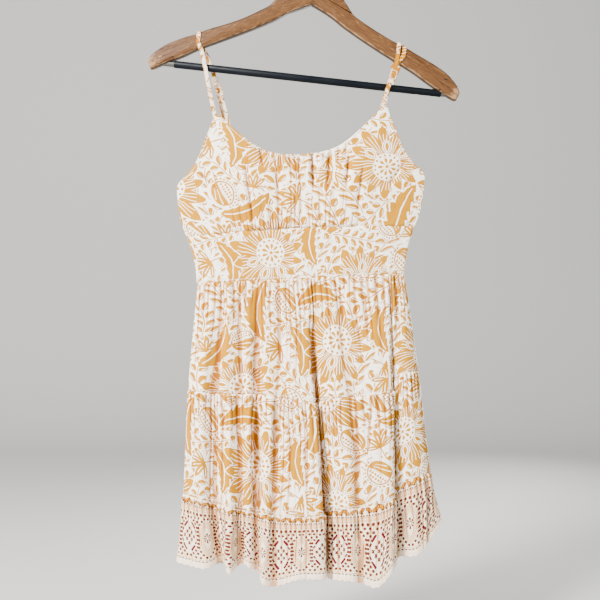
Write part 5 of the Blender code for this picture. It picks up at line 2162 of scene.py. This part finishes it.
def worn_finish(name, metallic, specular, roughness, amounts):
    colour, worn_colour = WORN_COLOURS[name]
    material, tree, shader = new_finish(name, colour, roughness[0], metallic)
    place = object_place(tree)
    fine = noise_of(place, amounts, 3.0, flat=False)
    broad = noise_of(place, (0.03, 0.03, 0.03), 2.0, flat=False)
    worn = ((fine - 0.5) * 2.4 + broad).clamped()
    shine = worn * (roughness[1] - roughness[0]) + roughness[0]
    end_finish(shader, mixed(worn, colour, worn_colour), shine, specular, fine, WORN_BUMP)
    return material


for slot, *values in WORN_FINISHES:
    finishes[slot] = [worn_finish(*values)]
for piece in made_pieces.values():
    node = piece.name.removesuffix("_wood")
    for material in finishes.get(node) or finishes[piece["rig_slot"]]:
        piece.data.materials.append(material)
print(len(made_pieces), "pieces have their finish")

# %% [markdown]
# A cutter lays each panel on the cloth where its blooms will fall well. The panels' maps are moved here in
# the same way: each panel names one bloom of the repeat and the place on the panel where it has to come.

# %% Lay the panels on the print
# Each row is one of the repeat's blooms, and where it falls on a panel: across from its middle, and up from
# its top seam, or from the seam under the bust on an upper bodice
BLOOM_PLACES = {
    "front_upper_bodice": (3, 118.0, 90.0),
    "front_midriff": (0, -44.0, -38.0),
    "front_upper_tier": (0, 52.0, -92.0),
    "front_lower_tier": (0, -92.0, -100.0),
    "back_upper_bodice": (1, -60.0, 50.0),
    "back_midriff": (2, 40.0, -30.0),
    "back_upper_tier": (3, -35.0, -80.0),
    "back_lower_tier": (1, 70.0, -90.0),
}
# Each row is where a panel of the border, or a strap, was cut: along the cloth and up it
OTHER_SHIFTS = {
    "front_hem_band": (4.0, 0.0),
    "back_hem_band": (20.0, 0.0),
    "left_strap": (228.0, -151.0),
    "left_strap_loop": (229.0, -139.0),
    "right_strap": (232.0, -274.0),
    "right_strap_loop": (153.0, -205.0),
}


def shift_on_print(node, across, up):
    """Moves a piece's place on the printed cloth, in millimetres."""
    chart = made_pieces[f"{node}_cloth"].data.uv_layers["flat"]
    values = np.empty(2 * len(chart.data), dtype=np.float32)
    chart.data.foreach_get("uv", values)
    values = values.reshape(-1, 2) + np.array([across, up], dtype=np.float32) * MM
    chart.data.foreach_set("uv", values.ravel())


for node, (bloom, across, up) in BLOOM_PLACES.items():
    bloom_across, bloom_up = LAYOUT["bloom"][bloom][:2]
    shift_on_print(node, bloom_across * PRINT_SIZE - across, bloom_up * PRINT_SIZE - up)
for node, (across, up) in OTHER_SHIFTS.items():
    shift_on_print(node, across, up)
print(len(BLOOM_PLACES) + len(OTHER_SHIFTS), "pieces lie on the print")

# %% [markdown]
# ## The room
#
# A pale floor runs up into a pale wall in one soft curve, far enough away to stay out of every view's way. A
# large soft light stands up on the left, a weaker one on the right, a third behind for the back's views, and
# the world fills the shadows. A sun would throw harder shadows than the photo has.

# %% Floor and wall
FLOOR_HEIGHT = -1.06
FLOOR_FRONT = -4.0
FLOOR_HALF = 5.0
WALL_AT = 2.6
WALL_BEND = 0.8
WALL_TOP = 3.6
BEND_STEPS = 12
PAINT = (0.39, 0.39, 0.378)


def build_floor():
    bend_from = WALL_AT - WALL_BEND
    profile = [(FLOOR_FRONT, 0.0), (bend_from, 0.0)]
    for step in range(1, BEND_STEPS):
        angle = math.pi / 2 * step / BEND_STEPS
        profile.append((bend_from + WALL_BEND * math.sin(angle), WALL_BEND * (1 - math.cos(angle))))
    profile += [(WALL_AT, WALL_BEND), (WALL_AT, WALL_TOP)]
    shape = bmesh.new()
    line = [shape.verts.new((-FLOOR_HALF, y, FLOOR_HEIGHT + z)) for y, z in profile]
    edges = [shape.edges.new(pair) for pair in zip(line, line[1:])]
    drawn_out = bmesh.ops.extrude_edge_only(shape, edges=edges)["geom"]
    corners = [item for item in drawn_out if isinstance(item, bmesh.types.BMVert)]
    bmesh.ops.translate(shape, vec=(2 * FLOOR_HALF, 0.0, 0.0), verts=corners)
    bmesh.ops.recalc_face_normals(shape, faces=shape.faces)
    floor = in_scene("floor", finished(shape, "floor"))
    floor.data.materials.append(new_finish("paint", PAINT, 0.9)[0])
    print("floor at", FLOOR_HEIGHT, "m, wall at", WALL_AT, "m")


build_floor()

# %% Lights
LIGHTS_AIM = Vector((-0.03, 0.0, -0.5))
# Each row is a light's name, place, size, power, colour and spread in degrees
LIGHTS = [
    ("key", (-1.9, -1.9, 1.0), 0.9, 500.0, (1.0, 0.975, 0.935), 180.0),
    ("fill", (1.9, -1.8, 0.1), 2.0, 50.0, (0.97, 0.985, 1.0), 180.0),
    ("behind", (0.9, 1.95, -0.1), 1.2, 38.0, (1.0, 0.99, 0.97), 80.0),
]
WORLD_COLOUR = (0.86, 0.87, 0.88)
WORLD_STRENGTH = 0.55


def add_light(name, place, size, power, colour, spread):
    data = bpy.data.lights.new(name, "AREA")
    data.shape = "DISK"
    data.size = size
    data.energy = power
    data.spread = math.radians(spread)
    data.color = colour
    light = in_scene(name, data)
    light.location = place
    light.rotation_euler = (LIGHTS_AIM - Vector(place)).to_track_quat("-Z", "Y").to_euler()
    light.visible_camera = False
    print("light:", name, power, "W")


for light_row in LIGHTS:
    add_light(*light_row)
world = bpy.data.worlds.new("world")
world.use_nodes = True
background = world.node_tree.nodes["Background"]
feed(background.inputs["Color"], WORLD_COLOUR)
feed(background.inputs["Strength"], WORLD_STRENGTH)
bpy.context.scene.world = world

# %% [markdown]
# Last, the view transform is printed.

# %% View transform
print("view transform:", bpy.context.scene.view_settings.view_transform)
